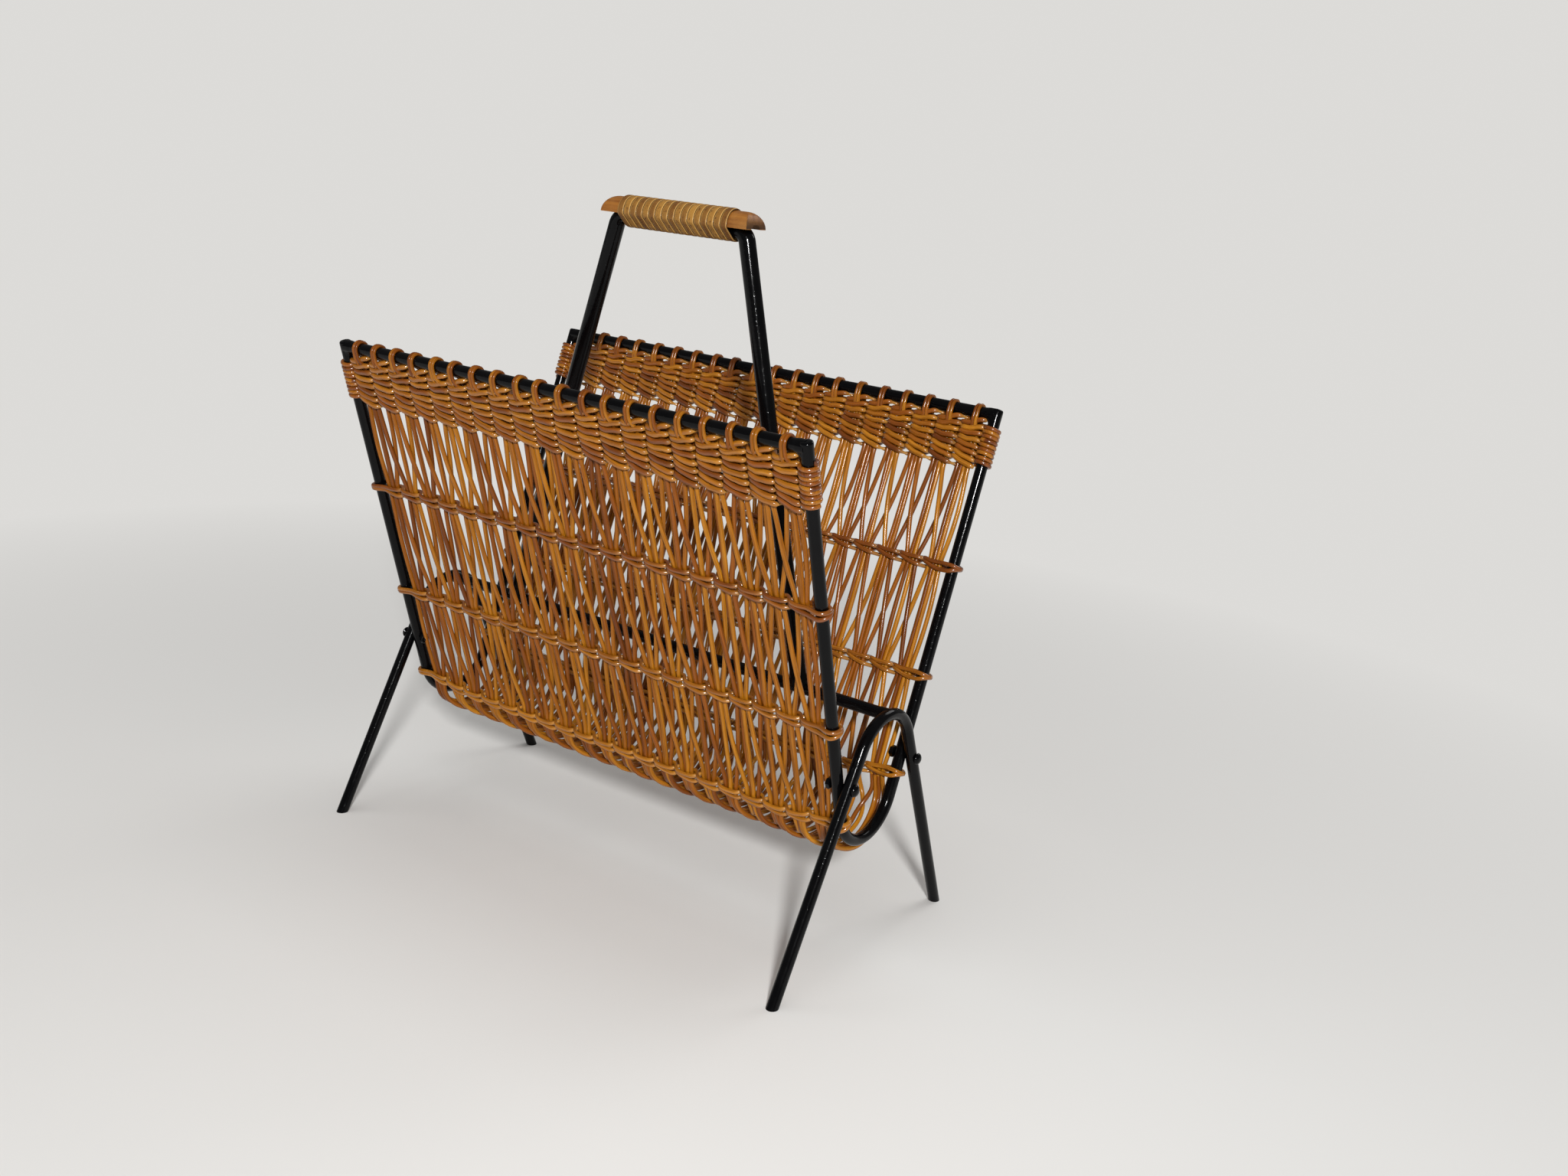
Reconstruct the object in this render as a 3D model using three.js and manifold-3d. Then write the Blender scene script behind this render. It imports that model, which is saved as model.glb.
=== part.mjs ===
// A free-standing magazine basket: a wicker trough hung in a welded frame of round rod, with two
// arched leg hoops bolted to its ends and a carrying handle along its middle.
// Millimetres, +Z up, the floor at zero, the length along X, the front side towards -Y.
import * as THREE from "three";
import { mergeVertices } from "three/addons/utils/BufferGeometryUtils.js";
import Module from "manifold-3d";

const wasm = await Module();
wasm.setup();

// Rods
const rodDiameter = 8;
const handleDiameter = 11;
const clearance = 0.3; // between two pieces that touch
const cutOverrun = 4; // how far a cutting shape runs past what it cuts

// Trough frame, all on the centre lines of its rods
const hoopSpacing = 375; // between the planes of the two end hoops
const railHeight = 346.3;
const railSpacing = 225.8; // between the front rail and the rear rail
const troughBottomHeight = 77.9;
const troughBendRadius = 31.2;

// Leg hoops, on the centre line of the rod
const archHeight = 165;
const archBendRadius = 31.3;
const footSpacing = 200.6; // between a hoop's two feet, on the floor

// Handle, on the centre line of the rod
const handleFootSpacing = 256; // between the feet, at the height of the middle bar
const handleTopSpacing = 105; // between the corners
const handleHeight = 448.75;
const handleBendRadius = 8;

// Screws and nuts
const screwDiameter = 4;
const screwHoleDiameter = 4.6;
const screwHeadDiameter = 8;
const screwHeadHeight = 2.6;
const screwEndLength = 1; // past the nut
const nutWidth = 7;
const nutThickness = 3;

// Grip
const saddleLength = 120;
const saddleWidth = 21; // its section is half of a round of this diameter
const saddleRise = 2.1; // from the rod's centre line up to the saddle's flat underside
const saddleNoseLength = 8; // how far each end rounds down
const caneWidth = 4.8;
const caneThickness = 0.9;
const caneGap = 0.5;
const caneTurns = 17;

// Stakes
const reedDiameter = 2.5;
const columnCount = 20;
const columnPitch = 18.3;
const groupWidth = 8.8; // of the stakes that are gathered at a row
const sheetThickness = 3;
const sheetMargin = 2.75; // from the last column's centre to the edge
const straightWidth = 5.2; // of the two straight stakes in the middle of a group
const apexShare = 0.44; // of a field, how deep the triangles above and below a crossing reach
const loopThickness = 2.2;
const loopFoot = 1.5; // how far a loop runs down into the stakes
const eyeLength = 15; // of the small eyes in the bottom
const eyeWidth = 6.4;
const eyeOffset = 13.5; // from the last row down to the middle of an eye
const bottomSag = 7; // how far the stakes hang below the hoops' bends
const sagRun = 14; // how far past a last row they have sunk so far

// Weave, down an arm from the centre line of its rail
const bandTop = 9;
const bandBottom = 38;
const bandEndWall = 2.8;
const weaverThickness = 2.5;
const courseCount = 8; // of the weave in a band
const courseDepth = 1.2; // of the furrow between two courses
const courseFlat = 0.4; // share of a course, along its ridge
const frontRowShares = [0.4516, 0.8172, 1.148]; // of the way from the rail to the screws
const rearRowShares = [0.4516, 0.7699, 1.0753];
const rowHeight = 7.5;
const rowMargin = 1.5; // of closed stakes above and below a row
const rowClearance = 0.6;
const rowTaper = 12; // how far from an arm a row opens round it
const wrapTurns = 9;
const wrapGap = 0.6;
const wrapTop = 9.9;

// Smoothness
const rodSides = 12;
const bendSteps = 9;
const turnSteps = 8;
const reedSides = 4;
const capSteps = 6;
const roundSides = 10;
const noseSteps = 5;
const domeSteps = 3;
const grooveSteps = 5;
const archStepsOnGrip = 5;
const archStepsUnderGrip = 2;
const girdleSteps = 6;
const girdleReach = THREE.MathUtils.degToRad(110); // how far a row goes round an arm, each way
const mergeTolerance = 1e-4;

// Derived places
const rodRadius = rodDiameter / 2;
const handleRadius = handleDiameter / 2;
const halfHoop = hoopSpacing / 2;
const halfRail = railSpacing / 2;
const troughCentreHeight = troughBottomHeight + troughBendRadius;
const archCentreHeight = archHeight - archBendRadius;
const archPlane = halfHoop + rodDiameter + clearance;
const troughLean = leanOf(halfRail, railHeight - troughCentreHeight, troughBendRadius);
const legLean = leanOf(footSpacing / 2, archCentreHeight, archBendRadius);
const tangentSpread = troughBendRadius * Math.cos(troughLean);
const tangentHeight = troughCentreHeight - troughBendRadius * Math.sin(troughLean);
const armLength = (railHeight - tangentHeight) / Math.cos(troughLean);
const bendLength = troughBendRadius * (Math.PI - 2 * troughLean);
const troughLength = 2 * armLength + bendLength;
const crossing = crossingOf();
const frontRows = frontRowShares.map((share) => share * crossing.distance);
const rearRows = rearRowShares.map((share) => share * crossing.distance);
const loopOuterRadius = rodRadius + clearance + loopThickness;
const halfSheet = (columnCount - 1) * columnPitch / 2 + sheetMargin;

const X = new THREE.Vector3(1, 0, 0);
const Y = new THREE.Vector3(0, 1, 0);
const Z = new THREE.Vector3(0, 0, 1);

// The lean of a straight arm from its far end to a round bend, measured from upright
function leanOf(halfSpread, rise, bendRadius) {
  return Math.acos(bendRadius / Math.hypot(halfSpread, rise)) - Math.atan2(rise, halfSpread);
}

// Where a leg crosses the arm of an end hoop, seen along X, and how far down the arm that is
function crossingOf() {
  const armSlope = Math.tan(troughLean);
  const legSlope = Math.tan(legLean);
  const spreadAtFloor = tangentSpread - tangentHeight * armSlope;
  const height = (footSpacing / 2 - spreadAtFloor) / (armSlope + legSlope);
  const distance = (railHeight - height) / Math.cos(troughLean);
  return { spread: footSpacing / 2 - height * legSlope, height, distance };
}

// A place on the centre line of an end hoop, a distance along it from the front rail
function troughPlace(distance) {
  const onBend = distance - armLength;
  if (onBend <= 0) {
    const spread = -halfRail + distance * Math.sin(troughLean);
    return { y: spread, z: railHeight - distance * Math.cos(troughLean), turn: troughLean };
  }
  if (onBend >= bendLength) {
    const mirrored = troughPlace(troughLength - distance);
    return { y: -mirrored.y, z: mirrored.z, turn: Math.PI - mirrored.turn };
  }
  const turn = troughLean + onBend / troughBendRadius;
  const y = -troughBendRadius * Math.cos(turn);
  return { y, z: troughCentreHeight - troughBendRadius * Math.sin(turn), turn };
}

// Stands an object there: its Y runs up the arm and its Z points out of the trough
function placeOnTrough(object, distance) {
  const place = troughPlace(distance);
  object.position.set(0, place.y, place.z);
  object.rotation.x = Math.PI / 2 + place.turn;
  return object;
}

function matrixOnTrough(distance) {
  const holder = placeOnTrough(new THREE.Object3D(), distance);
  holder.updateMatrix();
  return holder.matrix;
}

// Solids for cutting and joining
function solidOf(geometry) {
  const bare = geometry.clone();
  bare.deleteAttribute("normal");
  bare.deleteAttribute("uv");
  const merged = mergeVertices(bare, mergeTolerance);
  const vertProperties = new Float32Array(merged.attributes.position.array);
  const triVerts = new Uint32Array(merged.index.array);
  return new wasm.Manifold(new wasm.Mesh({ numProp: 3, vertProperties, triVerts }));
}

function geometryOf(solid) {
  const mesh = solid.getMesh();
  const geometry = new THREE.BufferGeometry();
  geometry.setAttribute("position", new THREE.BufferAttribute(mesh.vertProperties, 3));
  geometry.setIndex(new THREE.BufferAttribute(mesh.triVerts, 1));
  const flat = geometry.toNonIndexed();
  flat.computeVertexNormals();
  return flat;
}

// A route through points, with one direction that every section on it keeps as its width
class Route extends THREE.Curve {
  constructor(points, width) {
    super();
    this.points = points;
    this.width = width;
  }

  getPoint(share) {
    const place = share * (this.points.length - 1);
    const index = Math.min(Math.floor(place), this.points.length - 2);
    return this.points[index].clone().lerp(this.points[index + 1], place - index);
  }

  getPointAt(share) {
    return this.getPoint(share);
  }

  direction(index) {
    const last = this.points.length - 2;
    const from = THREE.MathUtils.clamp(index, 0, last);
    return this.points[from + 1].clone().sub(this.points[from]).normalize();
  }

  computeFrenetFrames(steps) {
    const frames = { tangents: [], normals: [], binormals: [] };
    for (let i = 0; i <= steps; i++) {
      const tangent = this.direction(i - 1).add(this.direction(i)).normalize();
      const binormal = this.width.clone().addScaledVector(tangent, -this.width.dot(tangent)).normalize();
      frames.tangents.push(tangent);
      frames.binormals.push(binormal);
      frames.normals.push(binormal.clone().cross(tangent));
    }
    return frames;
  }
}

function roundSection(diameter, sides) {
  const points = [];
  for (let i = 0; i < sides; i++) {
    const angle = 2 * Math.PI * i / sides;
    points.push(new THREE.Vector2(Math.cos(angle), Math.sin(angle)).multiplyScalar(diameter / 2));
  }
  return new THREE.Shape(points);
}

function flatSection(thickness, width) {
  const shape = new THREE.Shape();
  shape.moveTo(-thickness / 2, -width / 2);
  shape.lineTo(thickness / 2, -width / 2);
  shape.lineTo(thickness / 2, width / 2);
  shape.lineTo(-thickness / 2, width / 2);
  return shape;
}

function along(points, width, section) {
  const steps = points.length - 1;
  return new THREE.ExtrudeGeometry(section, { steps, extrudePath: new Route(points, width) });
}

// A flat shape made thick about its own plane
function slab(shape, thickness) {
  const geometry = new THREE.ExtrudeGeometry(shape, { depth: thickness, bevelEnabled: false });
  return geometry.translate(0, 0, -thickness / 2);
}

// A round bar along X between two places
function barAlongX(diameter, from, to, sides) {
  const bar = new THREE.CylinderGeometry(diameter / 2, diameter / 2, to - from, sides);
  return bar.rotateZ(Math.PI / 2).translate((from + to) / 2, 0, 0);
}

// Places on an arc, in a plane
function arc(centre, radius, from, to, steps) {
  const points = [];
  for (let i = 0; i <= steps; i++) {
    const angle = from + (to - from) * i / steps;
    points.push([centre[0] + radius * Math.cos(angle), centre[1] + radius * Math.sin(angle)]);
  }
  return points;
}

// Cuts the screw holes through a hoop in the plane at x
function drill(solid, x) {
  let drilled = solid;
  for (const side of [-1, 1]) {
    const reach = rodRadius + cutOverrun;
    const hole = barAlongX(screwHoleDiameter, x - reach, x + reach, roundSides);
    hole.translate(0, side * crossing.spread, crossing.height);
    drilled = drilled.subtract(solidOf(hole));
  }
  return drilled;
}

// An end hoop: two leaning arms and the round bend under the trough
function endHoop(x) {
  const bend = arc([0, troughCentreHeight], troughBendRadius,
    Math.PI + troughLean, 2 * Math.PI - troughLean, bendSteps);
  const overshoot = rodRadius; // the arms end level with the tops of the rails
  const topSpread = halfRail + overshoot * Math.sin(troughLean);
  const topHeight = railHeight + overshoot * Math.cos(troughLean);
  const outline = [[-topSpread, topHeight], ...bend, [topSpread, topHeight]];
  const points = outline.map(([y, z]) => new THREE.Vector3(x, y, z));
  return geometryOf(drill(solidOf(along(points, X, roundSection(rodDiameter, rodSides))), x));
}

// A leg hoop: an arch whose two legs are cut level at the floor
function legHoop(x) {
  const bend = arc([0, archCentreHeight], archBendRadius, Math.PI - legLean, legLean, bendSteps);
  const below = rodDiameter;
  const footSpread = footSpacing / 2 + below * Math.tan(legLean);
  const outline = [[-footSpread, -below], ...bend, [footSpread, -below]];
  const points = outline.map(([y, z]) => new THREE.Vector3(x, y, z));
  const hoop = solidOf(along(points, X, roundSection(rodDiameter, rodSides)));
  const cutter = new THREE.BoxGeometry(2 * rodDiameter, 2 * footSpacing, 2 * rodDiameter);
  cutter.translate(x, 0, -rodDiameter);
  return geometryOf(drill(hoop.subtract(solidOf(cutter)), x));
}

// The handle: two leaning posts on the middle bar and a level top
function handleRod() {
  const rise = handleHeight - archHeight;
  const cornerSpread = handleTopSpacing / 2;
  const lean = Math.atan2(handleFootSpacing / 2 - cornerSpread, rise);
  const cut = handleBendRadius * Math.tan((Math.PI / 2 - lean) / 2);
  const centre = [cornerSpread - cut, handleHeight - handleBendRadius];
  const right = arc(centre, handleBendRadius, Math.PI / 2, lean, grooveSteps);
  right.push([handleFootSpacing / 2, archHeight]);
  const left = right.map(([x, z]) => [-x, z]).reverse();
  const points = [...left, ...right].map(([x, z]) => new THREE.Vector3(x, 0, z));
  const rod = solidOf(along(points, Y, roundSection(handleDiameter, rodSides)));
  const footHeight = archHeight + rodRadius + clearance;
  const cutter = new THREE.BoxGeometry(2 * handleFootSpacing, 2 * handleDiameter, 2 * rodDiameter);
  cutter.translate(0, 0, footHeight - rodDiameter);
  return geometryOf(rod.subtract(solidOf(cutter)));
}

// A round-head screw along X, with its head's underside at the origin and its shank towards -X
function screw() {
  const grip = 2 * rodDiameter + 3 * clearance; // both rods, the gap between them, head and nut gaps
  const end = grip + nutThickness + screwEndLength;
  const profile = [[0, -end], [screwDiameter / 2, -end], [screwDiameter / 2, 0], [screwHeadDiameter / 2, 0]];
  for (let i = 1; i <= domeSteps; i++) {
    const angle = Math.PI / 2 * i / domeSteps;
    const radius = i === domeSteps ? 0 : screwHeadDiameter / 2 * Math.cos(angle);
    profile.push([radius, screwHeadHeight * Math.sin(angle)]);
  }
  const points = profile.map(([radius, height]) => new THREE.Vector2(radius, height));
  return new THREE.LatheGeometry(points, roundSides).rotateZ(-Math.PI / 2);
}

// A hexagon nut along X, with its outer face at the origin and its thickness towards -X
function nut() {
  const hexagon = roundSection(nutWidth / Math.cos(Math.PI / 6), 6);
  hexagon.holes.push(roundSection(screwHoleDiameter, roundSides));
  const geometry = slab(hexagon, nutThickness).rotateY(Math.PI / 2);
  return geometry.translate(-nutThickness / 2, 0, 0);
}

// The grip's saddle: a half round with a groove for the rod, rounded down at both ends
function gripSaddle() {
  const radius = saddleWidth / 2;
  const grooveRadius = handleRadius + clearance;
  const grooveStart = Math.asin(saddleRise / grooveRadius);
  const top = arc([0, saddleRise], radius, 0, Math.PI, roundSides);
  const groove = arc([0, 0], grooveRadius, Math.PI - grooveStart, grooveStart, grooveSteps);
  const section = new THREE.Shape([...top, ...groove].map(([y, z]) => new THREE.Vector2(y, z)));
  const across = slab(section, saddleLength).applyMatrix4(new THREE.Matrix4().makeBasis(Y, Z, X));
  const nose = [];
  for (let i = 0; i <= noseSteps; i++) {
    const angle = Math.PI / 2 * i / noseSteps;
    const x = saddleLength / 2 - saddleNoseLength * (1 - Math.cos(angle));
    nose.push([x, saddleRise + radius * Math.sin(angle)]);
  }
  nose.unshift([saddleLength / 2, 0]);
  const outline = [...nose, ...nose.map(([x, z]) => [-x, z]).reverse()];
  const side = new THREE.Shape(outline.map(([x, z]) => new THREE.Vector2(x, z)));
  const profile = slab(side, 2 * saddleWidth).rotateX(Math.PI / 2);
  const saddle = solidOf(across).intersect(solidOf(profile));
  return geometryOf(saddle).translate(0, 0, handleHeight);
}

// One turn of the grip's cane, seen along X: over the saddle's round and under the rod
function gripTurn() {
  const lift = clearance + caneThickness / 2;
  const topRadius = (saddleWidth / 2 + lift) / Math.cos(Math.PI / archStepsOnGrip / 2);
  const cornerAngle = Math.atan2(saddleRise, topRadius);
  const cornerReach = Math.hypot(saddleRise, topRadius);
  const looseRadius = handleRadius + lift;
  const start = cornerAngle - Math.acos(looseRadius / cornerReach);
  const halfStep = (Math.PI + 2 * start) / archStepsUnderGrip / 2;
  const underRadius = looseRadius / Math.cos(halfStep);
  const under = arc([0, 0], underRadius, -Math.PI - start, start, archStepsUnderGrip);
  const over = arc([0, saddleRise], topRadius, 0, Math.PI, archStepsOnGrip);
  return [...under.slice(1), ...over, under[0]];
}

// The least distance between corners of a winding's sections that lie at least half a turn apart
function leastGap(points, width, section, stepsInTurn) {
  const frames = new Route(points, width).computeFrenetFrames(points.length - 1);
  const rings = points.map((point, i) => section.getPoints().map((corner) => point.clone()
    .addScaledVector(frames.normals[i], corner.x)
    .addScaledVector(frames.binormals[i], corner.y)));
  let least = Infinity;
  for (let a = 0; a < rings.length; a++) {
    const furthest = Math.min(rings.length - 1, a + 2 * stepsInTurn);
    for (let b = a + Math.ceil(stepsInTurn / 2); b <= furthest; b++) {
      for (const corner of rings[a]) {
        least = Math.min(least, ...rings[b].map((other) => corner.distanceTo(other)));
      }
    }
  }
  return least;
}

// A winding: one unbroken tube, which prints its least gap to itself
function winding(name, points, width, section, stepsInTurn) {
  console.log(name, "least gap", leastGap(points, width, section, stepsInTurn).toFixed(2), "mm");
  return along(points, width, section);
}

// The grip's binding: flat cane wound round saddle and rod
function gripBinding() {
  const outline = gripTurn();
  const lengths = outline.map((point, i) => {
    const next = outline[(i + 1) % outline.length];
    return Math.hypot(next[0] - point[0], next[1] - point[1]);
  });
  const girth = lengths.reduce((sum, length) => sum + length, 0);
  const pitch = caneWidth + caneGap;
  const points = [];
  let wound = 0;
  for (let i = 0; i <= caneTurns * outline.length; i++) {
    const [y, z] = outline[i % outline.length];
    const x = pitch * (wound / girth - caneTurns / 2);
    points.push(new THREE.Vector3(x, y, handleHeight + z));
    wound += lengths[i % outline.length];
  }
  return winding("grip_binding", points, X, flatSection(caneThickness, caneWidth), outline.length);
}

// The turns of the weave round the top of an arm, with the arm along Y at the origin
function cornerWrap(name) {
  const radius = (rodRadius + clearance) / Math.cos(Math.PI / turnSteps) + reedDiameter / 2;
  const points = [];
  for (let i = 0; i <= wrapTurns * turnSteps; i++) {
    const angle = 2 * Math.PI * i / turnSteps;
    const drop = wrapTop + (reedDiameter + wrapGap) * i / turnSteps;
    points.push(new THREE.Vector3(radius * Math.cos(angle), -drop, radius * Math.sin(angle)));
  }
  return winding(name, points, Y, roundSection(reedDiameter, reedSides), turnSteps);
}

// The openings of a bay between two rows, round the crossing of two stakes: one above it, one below
// it, and one on each side, up to the straight stakes
function bayOpenings(from, to) {
  const halfBase = (columnPitch - groupWidth) / 2;
  const depth = (to - from) * apexShare;
  const slope = halfBase / depth; // of a crossing stake, across for each millimetre down
  const stakeWidth = reedDiameter * Math.hypot(1, slope);
  const middle = (from + to) / 2;
  const post = (columnPitch - straightWidth) / 2;
  const start = (halfBase + stakeWidth - post) / slope;
  const point = halfBase + stakeWidth - slope * (middle - from);
  return [
    [[-halfBase, from], [halfBase, from], [0, from + depth]],
    [[-halfBase, to], [halfBase, to], [0, to - depth]],
    [[-post, from + start], [-point, middle], [-post, to - start]],
    [[post, from + start], [point, middle], [post, to - start]],
  ];
}

// Cuts a field of the lattice between two rows
function cutField(stakes, from, to) {
  let cut = stakes;
  const openings = bayOpenings(from, to);
  for (let bay = 1; bay < columnCount; bay++) {
    const x = (bay - columnCount / 2) * columnPitch;
    for (const opening of openings) {
      const shape = new THREE.Shape(opening.map(([across, down]) => new THREE.Vector2(x + across, -down)));
      cut = cut.subtract(solidOf(slab(shape, sheetThickness + 2 * cutOverrun)));
    }
  }
  return cut;
}

// A doubled reed over the rail, which closes to the thickness of the stakes below it
function railLoop() {
  const half = sheetThickness / 2;
  const neck = bandTop - clearance;
  const toCircle = Math.acos(loopOuterRadius / Math.hypot(half, neck));
  const start = Math.atan2(-neck, half) + toCircle;
  const outline = arc([0, 0], loopOuterRadius, start, Math.PI - start, capSteps);
  outline.push([-half, -neck], [-half, -bandTop - loopFoot], [half, -bandTop - loopFoot], [half, -neck]);
  const shape = new THREE.Shape(outline.map(([out, up]) => new THREE.Vector2(out, up)));
  shape.holes.push(roundSection(2 * (rodRadius + clearance) / Math.cos(Math.PI / capSteps), capSteps));
  return slab(shape, 2 * reedDiameter).rotateY(Math.PI / 2);
}

function sheetEnd(rows) {
  return Math.min(armLength, rows[rows.length - 1] + rowHeight / 2 + rowMargin);
}

// The stakes of one side, with the rail along X at the origin and the arms along Y
function sideStakes(rows) {
  const end = sheetEnd(rows);
  const sheet = new THREE.Shape([
    new THREE.Vector2(-halfSheet, -bandTop),
    new THREE.Vector2(halfSheet, -bandTop),
    new THREE.Vector2(halfSheet, -end),
    new THREE.Vector2(-halfSheet, -end),
  ]);
  let stakes = solidOf(slab(sheet, sheetThickness));
  let from = bandBottom + rowMargin;
  for (const row of rows) {
    stakes = cutField(stakes, from, Math.min(row - rowHeight / 2, end) - rowMargin);
    from = row + rowHeight / 2 + rowMargin;
  }
  for (let column = 0; column < columnCount; column++) {
    const x = (column - (columnCount - 1) / 2) * columnPitch;
    stakes = stakes.add(solidOf(railLoop().translate(x, 0, 0)));
  }
  return geometryOf(stakes);
}

// Where the bottom's stakes start to sag, past each side's last row
function sagEnds() {
  const past = rowHeight / 2 + rowMargin;
  return [frontRows[frontRows.length - 1] + past, troughLength - rearRows[rearRows.length - 1] - past];
}

// How far outside the hoops' centre line the stakes run there
function sagAt(distance) {
  const [from, to] = sagEnds();
  return bottomSag * THREE.MathUtils.smoothstep(Math.min(distance - from, to - distance), 0, sagRun);
}

// The stakes of the bottom, from one side's sheet round to the other's, with an eye in each bay
function bottomStakes() {
  const from = sheetEnd(frontRows) + clearance;
  const to = troughLength - sheetEnd(rearRows) - clearance;
  const ends = [from, Math.max(from, armLength), Math.min(to, armLength + bendLength), to];
  const distances = [ends[0]];
  for (let i = 0; i <= bendSteps; i++) {
    distances.push(ends[1] + (ends[2] - ends[1]) * i / bendSteps);
  }
  distances.push(ends[3], ...sagEnds());
  distances.sort((a, b) => a - b);
  const places = distances.filter((distance, i) => i === 0 || distance > distances[i - 1])
    .map((distance) => ({ ...troughPlace(distance), sag: sagAt(distance) }));
  const offset = (place, out) => new THREE.Vector2(
    place.y - (place.sag + out) * Math.cos(place.turn), place.z - (place.sag + out) * Math.sin(place.turn));
  const outer = places.map((place) => offset(place, sheetThickness / 2));
  const inner = places.map((place) => offset(place, -sheetThickness / 2)).reverse();
  const shell = slab(new THREE.Shape([...outer, ...inner]), 2 * halfSheet);
  let bottom = solidOf(shell.applyMatrix4(new THREE.Matrix4().makeBasis(Y, Z, X)));
  const frontEyes = frontRows[frontRows.length - 1] + eyeOffset;
  const rearEyes = troughLength - rearRows[rearRows.length - 1] - eyeOffset;
  for (const distance of [frontEyes, rearEyes]) {
    for (let bay = 1; bay < columnCount; bay++) {
      const x = (bay - columnCount / 2) * columnPitch;
      const eye = slab(new THREE.Shape([
        new THREE.Vector2(x - eyeWidth / 2, 0),
        new THREE.Vector2(x, -eyeLength / 2),
        new THREE.Vector2(x + eyeWidth / 2, 0),
        new THREE.Vector2(x, eyeLength / 2),
      ]), sheetThickness + 2 * (bottomSag + cutOverrun)).translate(0, 0, sagAt(distance));
      bottom = bottom.subtract(solidOf(eye.applyMatrix4(matrixOnTrough(distance))));
    }
  }
  return geometryOf(bottom);
}

// What a band's courses leave, seen along X: a ridge for each and a furrow between two
function coursesProfile(reach) {
  const height = (bandBottom - bandTop) / courseCount;
  const edge = [];
  for (let course = 0; course < courseCount; course++) {
    const top = -bandTop - course * height;
    const slant = height * (1 - courseFlat) / 2;
    edge.push([reach - courseDepth, top], [reach, top - slant], [reach, top - height + slant]);
  }
  edge.push([reach - courseDepth, -bandBottom]);
  const outline = [...edge, ...edge.map(([out, up]) => [-out, up]).reverse()];
  return new THREE.Shape(outline.map(([out, up]) => new THREE.Vector2(out, up)));
}

// A woven band: a sleeve of courses round the stakes, with the rail along X at the origin
function band() {
  const halfGap = sheetThickness / 2 + clearance;
  const halfLength = halfSheet + clearance;
  const outline = (x, out) => [[-x, -out], [x, -out], [x, out], [-x, out]]
    .map(([across, away]) => new THREE.Vector2(across, away));
  const sleeve = new THREE.Shape(outline(halfLength + bandEndWall, halfGap + weaverThickness));
  sleeve.holes.push(new THREE.Path(outline(halfLength, halfGap)));
  const middle = (bandTop + bandBottom) / 2;
  const tube = slab(sleeve, bandBottom - bandTop).rotateX(Math.PI / 2).translate(0, -middle, 0);
  const courses = slab(coursesProfile(halfGap + weaverThickness), 2 * halfLength + 2 * cutOverrun);
  return geometryOf(solidOf(tube).intersect(solidOf(courses.rotateY(Math.PI / 2))));
}

// A row's outline: close to the stakes, and open round the arm at each end
function rowOutline(halfGap, armRadius) {
  const right = [[halfHoop - rowTaper, halfGap]];
  right.push(...arc([halfHoop, 0], armRadius, girdleReach, -girdleReach, girdleSteps));
  right.push([halfHoop - rowTaper, -halfGap]);
  return [...right, ...right.map(([x, out]) => [-x, -out])].map(([x, out]) => new THREE.Vector2(x, out));
}

// A pairing row: a girdle of two twined reeds round the stakes and both arms
function pairingRow() {
  const halfGap = sheetThickness / 2 + rowClearance;
  const armRadius = (rodRadius + rowClearance) / Math.cos(girdleReach / girdleSteps);
  const outer = new THREE.Shape(rowOutline(halfGap + weaverThickness, armRadius + weaverThickness));
  const inner = new THREE.Shape(rowOutline(halfGap, armRadius));
  const row = solidOf(slab(outer, rowHeight)).subtract(solidOf(slab(inner, rowHeight + 2 * cutOverrun)));
  return geometryOf(row).rotateX(Math.PI / 2);
}

// Finishes
const paint = { color: 0x0b0b0c, roughness: 0.25, metalness: 0.2 };
const stakeReed = { color: 0xb06a26, roughness: 0.45, metalness: 0 };
const bandReed = { color: 0xa85f22, roughness: 0.4, metalness: 0 };
const rowReed = { color: 0x8f4a1a, roughness: 0.4, metalness: 0 };
const saddleCane = { color: 0x8a5424, roughness: 0.5, metalness: 0 };
const bindingCane = { color: 0xb07a32, roughness: 0.5, metalness: 0 };

const basket = new THREE.Group();

function piece(parent, name, geometry, finish) {
  const mesh = new THREE.Mesh(geometry, new THREE.MeshStandardMaterial(finish));
  mesh.name = name;
  parent.add(mesh);
  return mesh;
}

// One side of the trough, built as the front; the rear is the same turned half round
function addSide(name, rows, endNames, turn) {
  const side = new THREE.Group();
  side.rotation.z = turn;
  basket.add(side);
  const railReach = halfHoop - rodRadius - clearance;
  const rail = piece(side, `top_rail_${name}`, barAlongX(rodDiameter, -railReach, railReach, rodSides), paint);
  rail.position.set(0, -halfRail, railHeight);

  const wall = placeOnTrough(new THREE.Group(), 0);
  side.add(wall);
  piece(wall, `${name}_stakes`, sideStakes(rows), stakeReed);
  piece(wall, `${name}_band`, band(), bandReed);
  rows.forEach((row, i) => {
    placeOnTrough(piece(side, `${name}_row_${i + 1}`, pairingRow(), rowReed), row);
  });

  endNames.forEach((end, i) => {
    const outward = i === 0 ? -1 : 1;
    const wrapName = `corner_wrap_${name}_${end}`;
    piece(wall, wrapName, cornerWrap(wrapName), bandReed).position.x = outward * halfHoop;
    const headSeat = outward * (archPlane + rodRadius + clearance);
    const nutSeat = outward * (halfHoop - rodRadius - clearance);
    for (const [kind, geometry, seat] of [["screw", screw(), headSeat], ["nut", nut(), nutSeat]]) {
      const fastener = piece(side, `${kind}_${name}_${end}`, geometry, paint);
      fastener.position.set(seat, -crossing.spread, crossing.height);
      fastener.rotation.z = outward < 0 ? Math.PI : 0;
    }
  });
}

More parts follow.
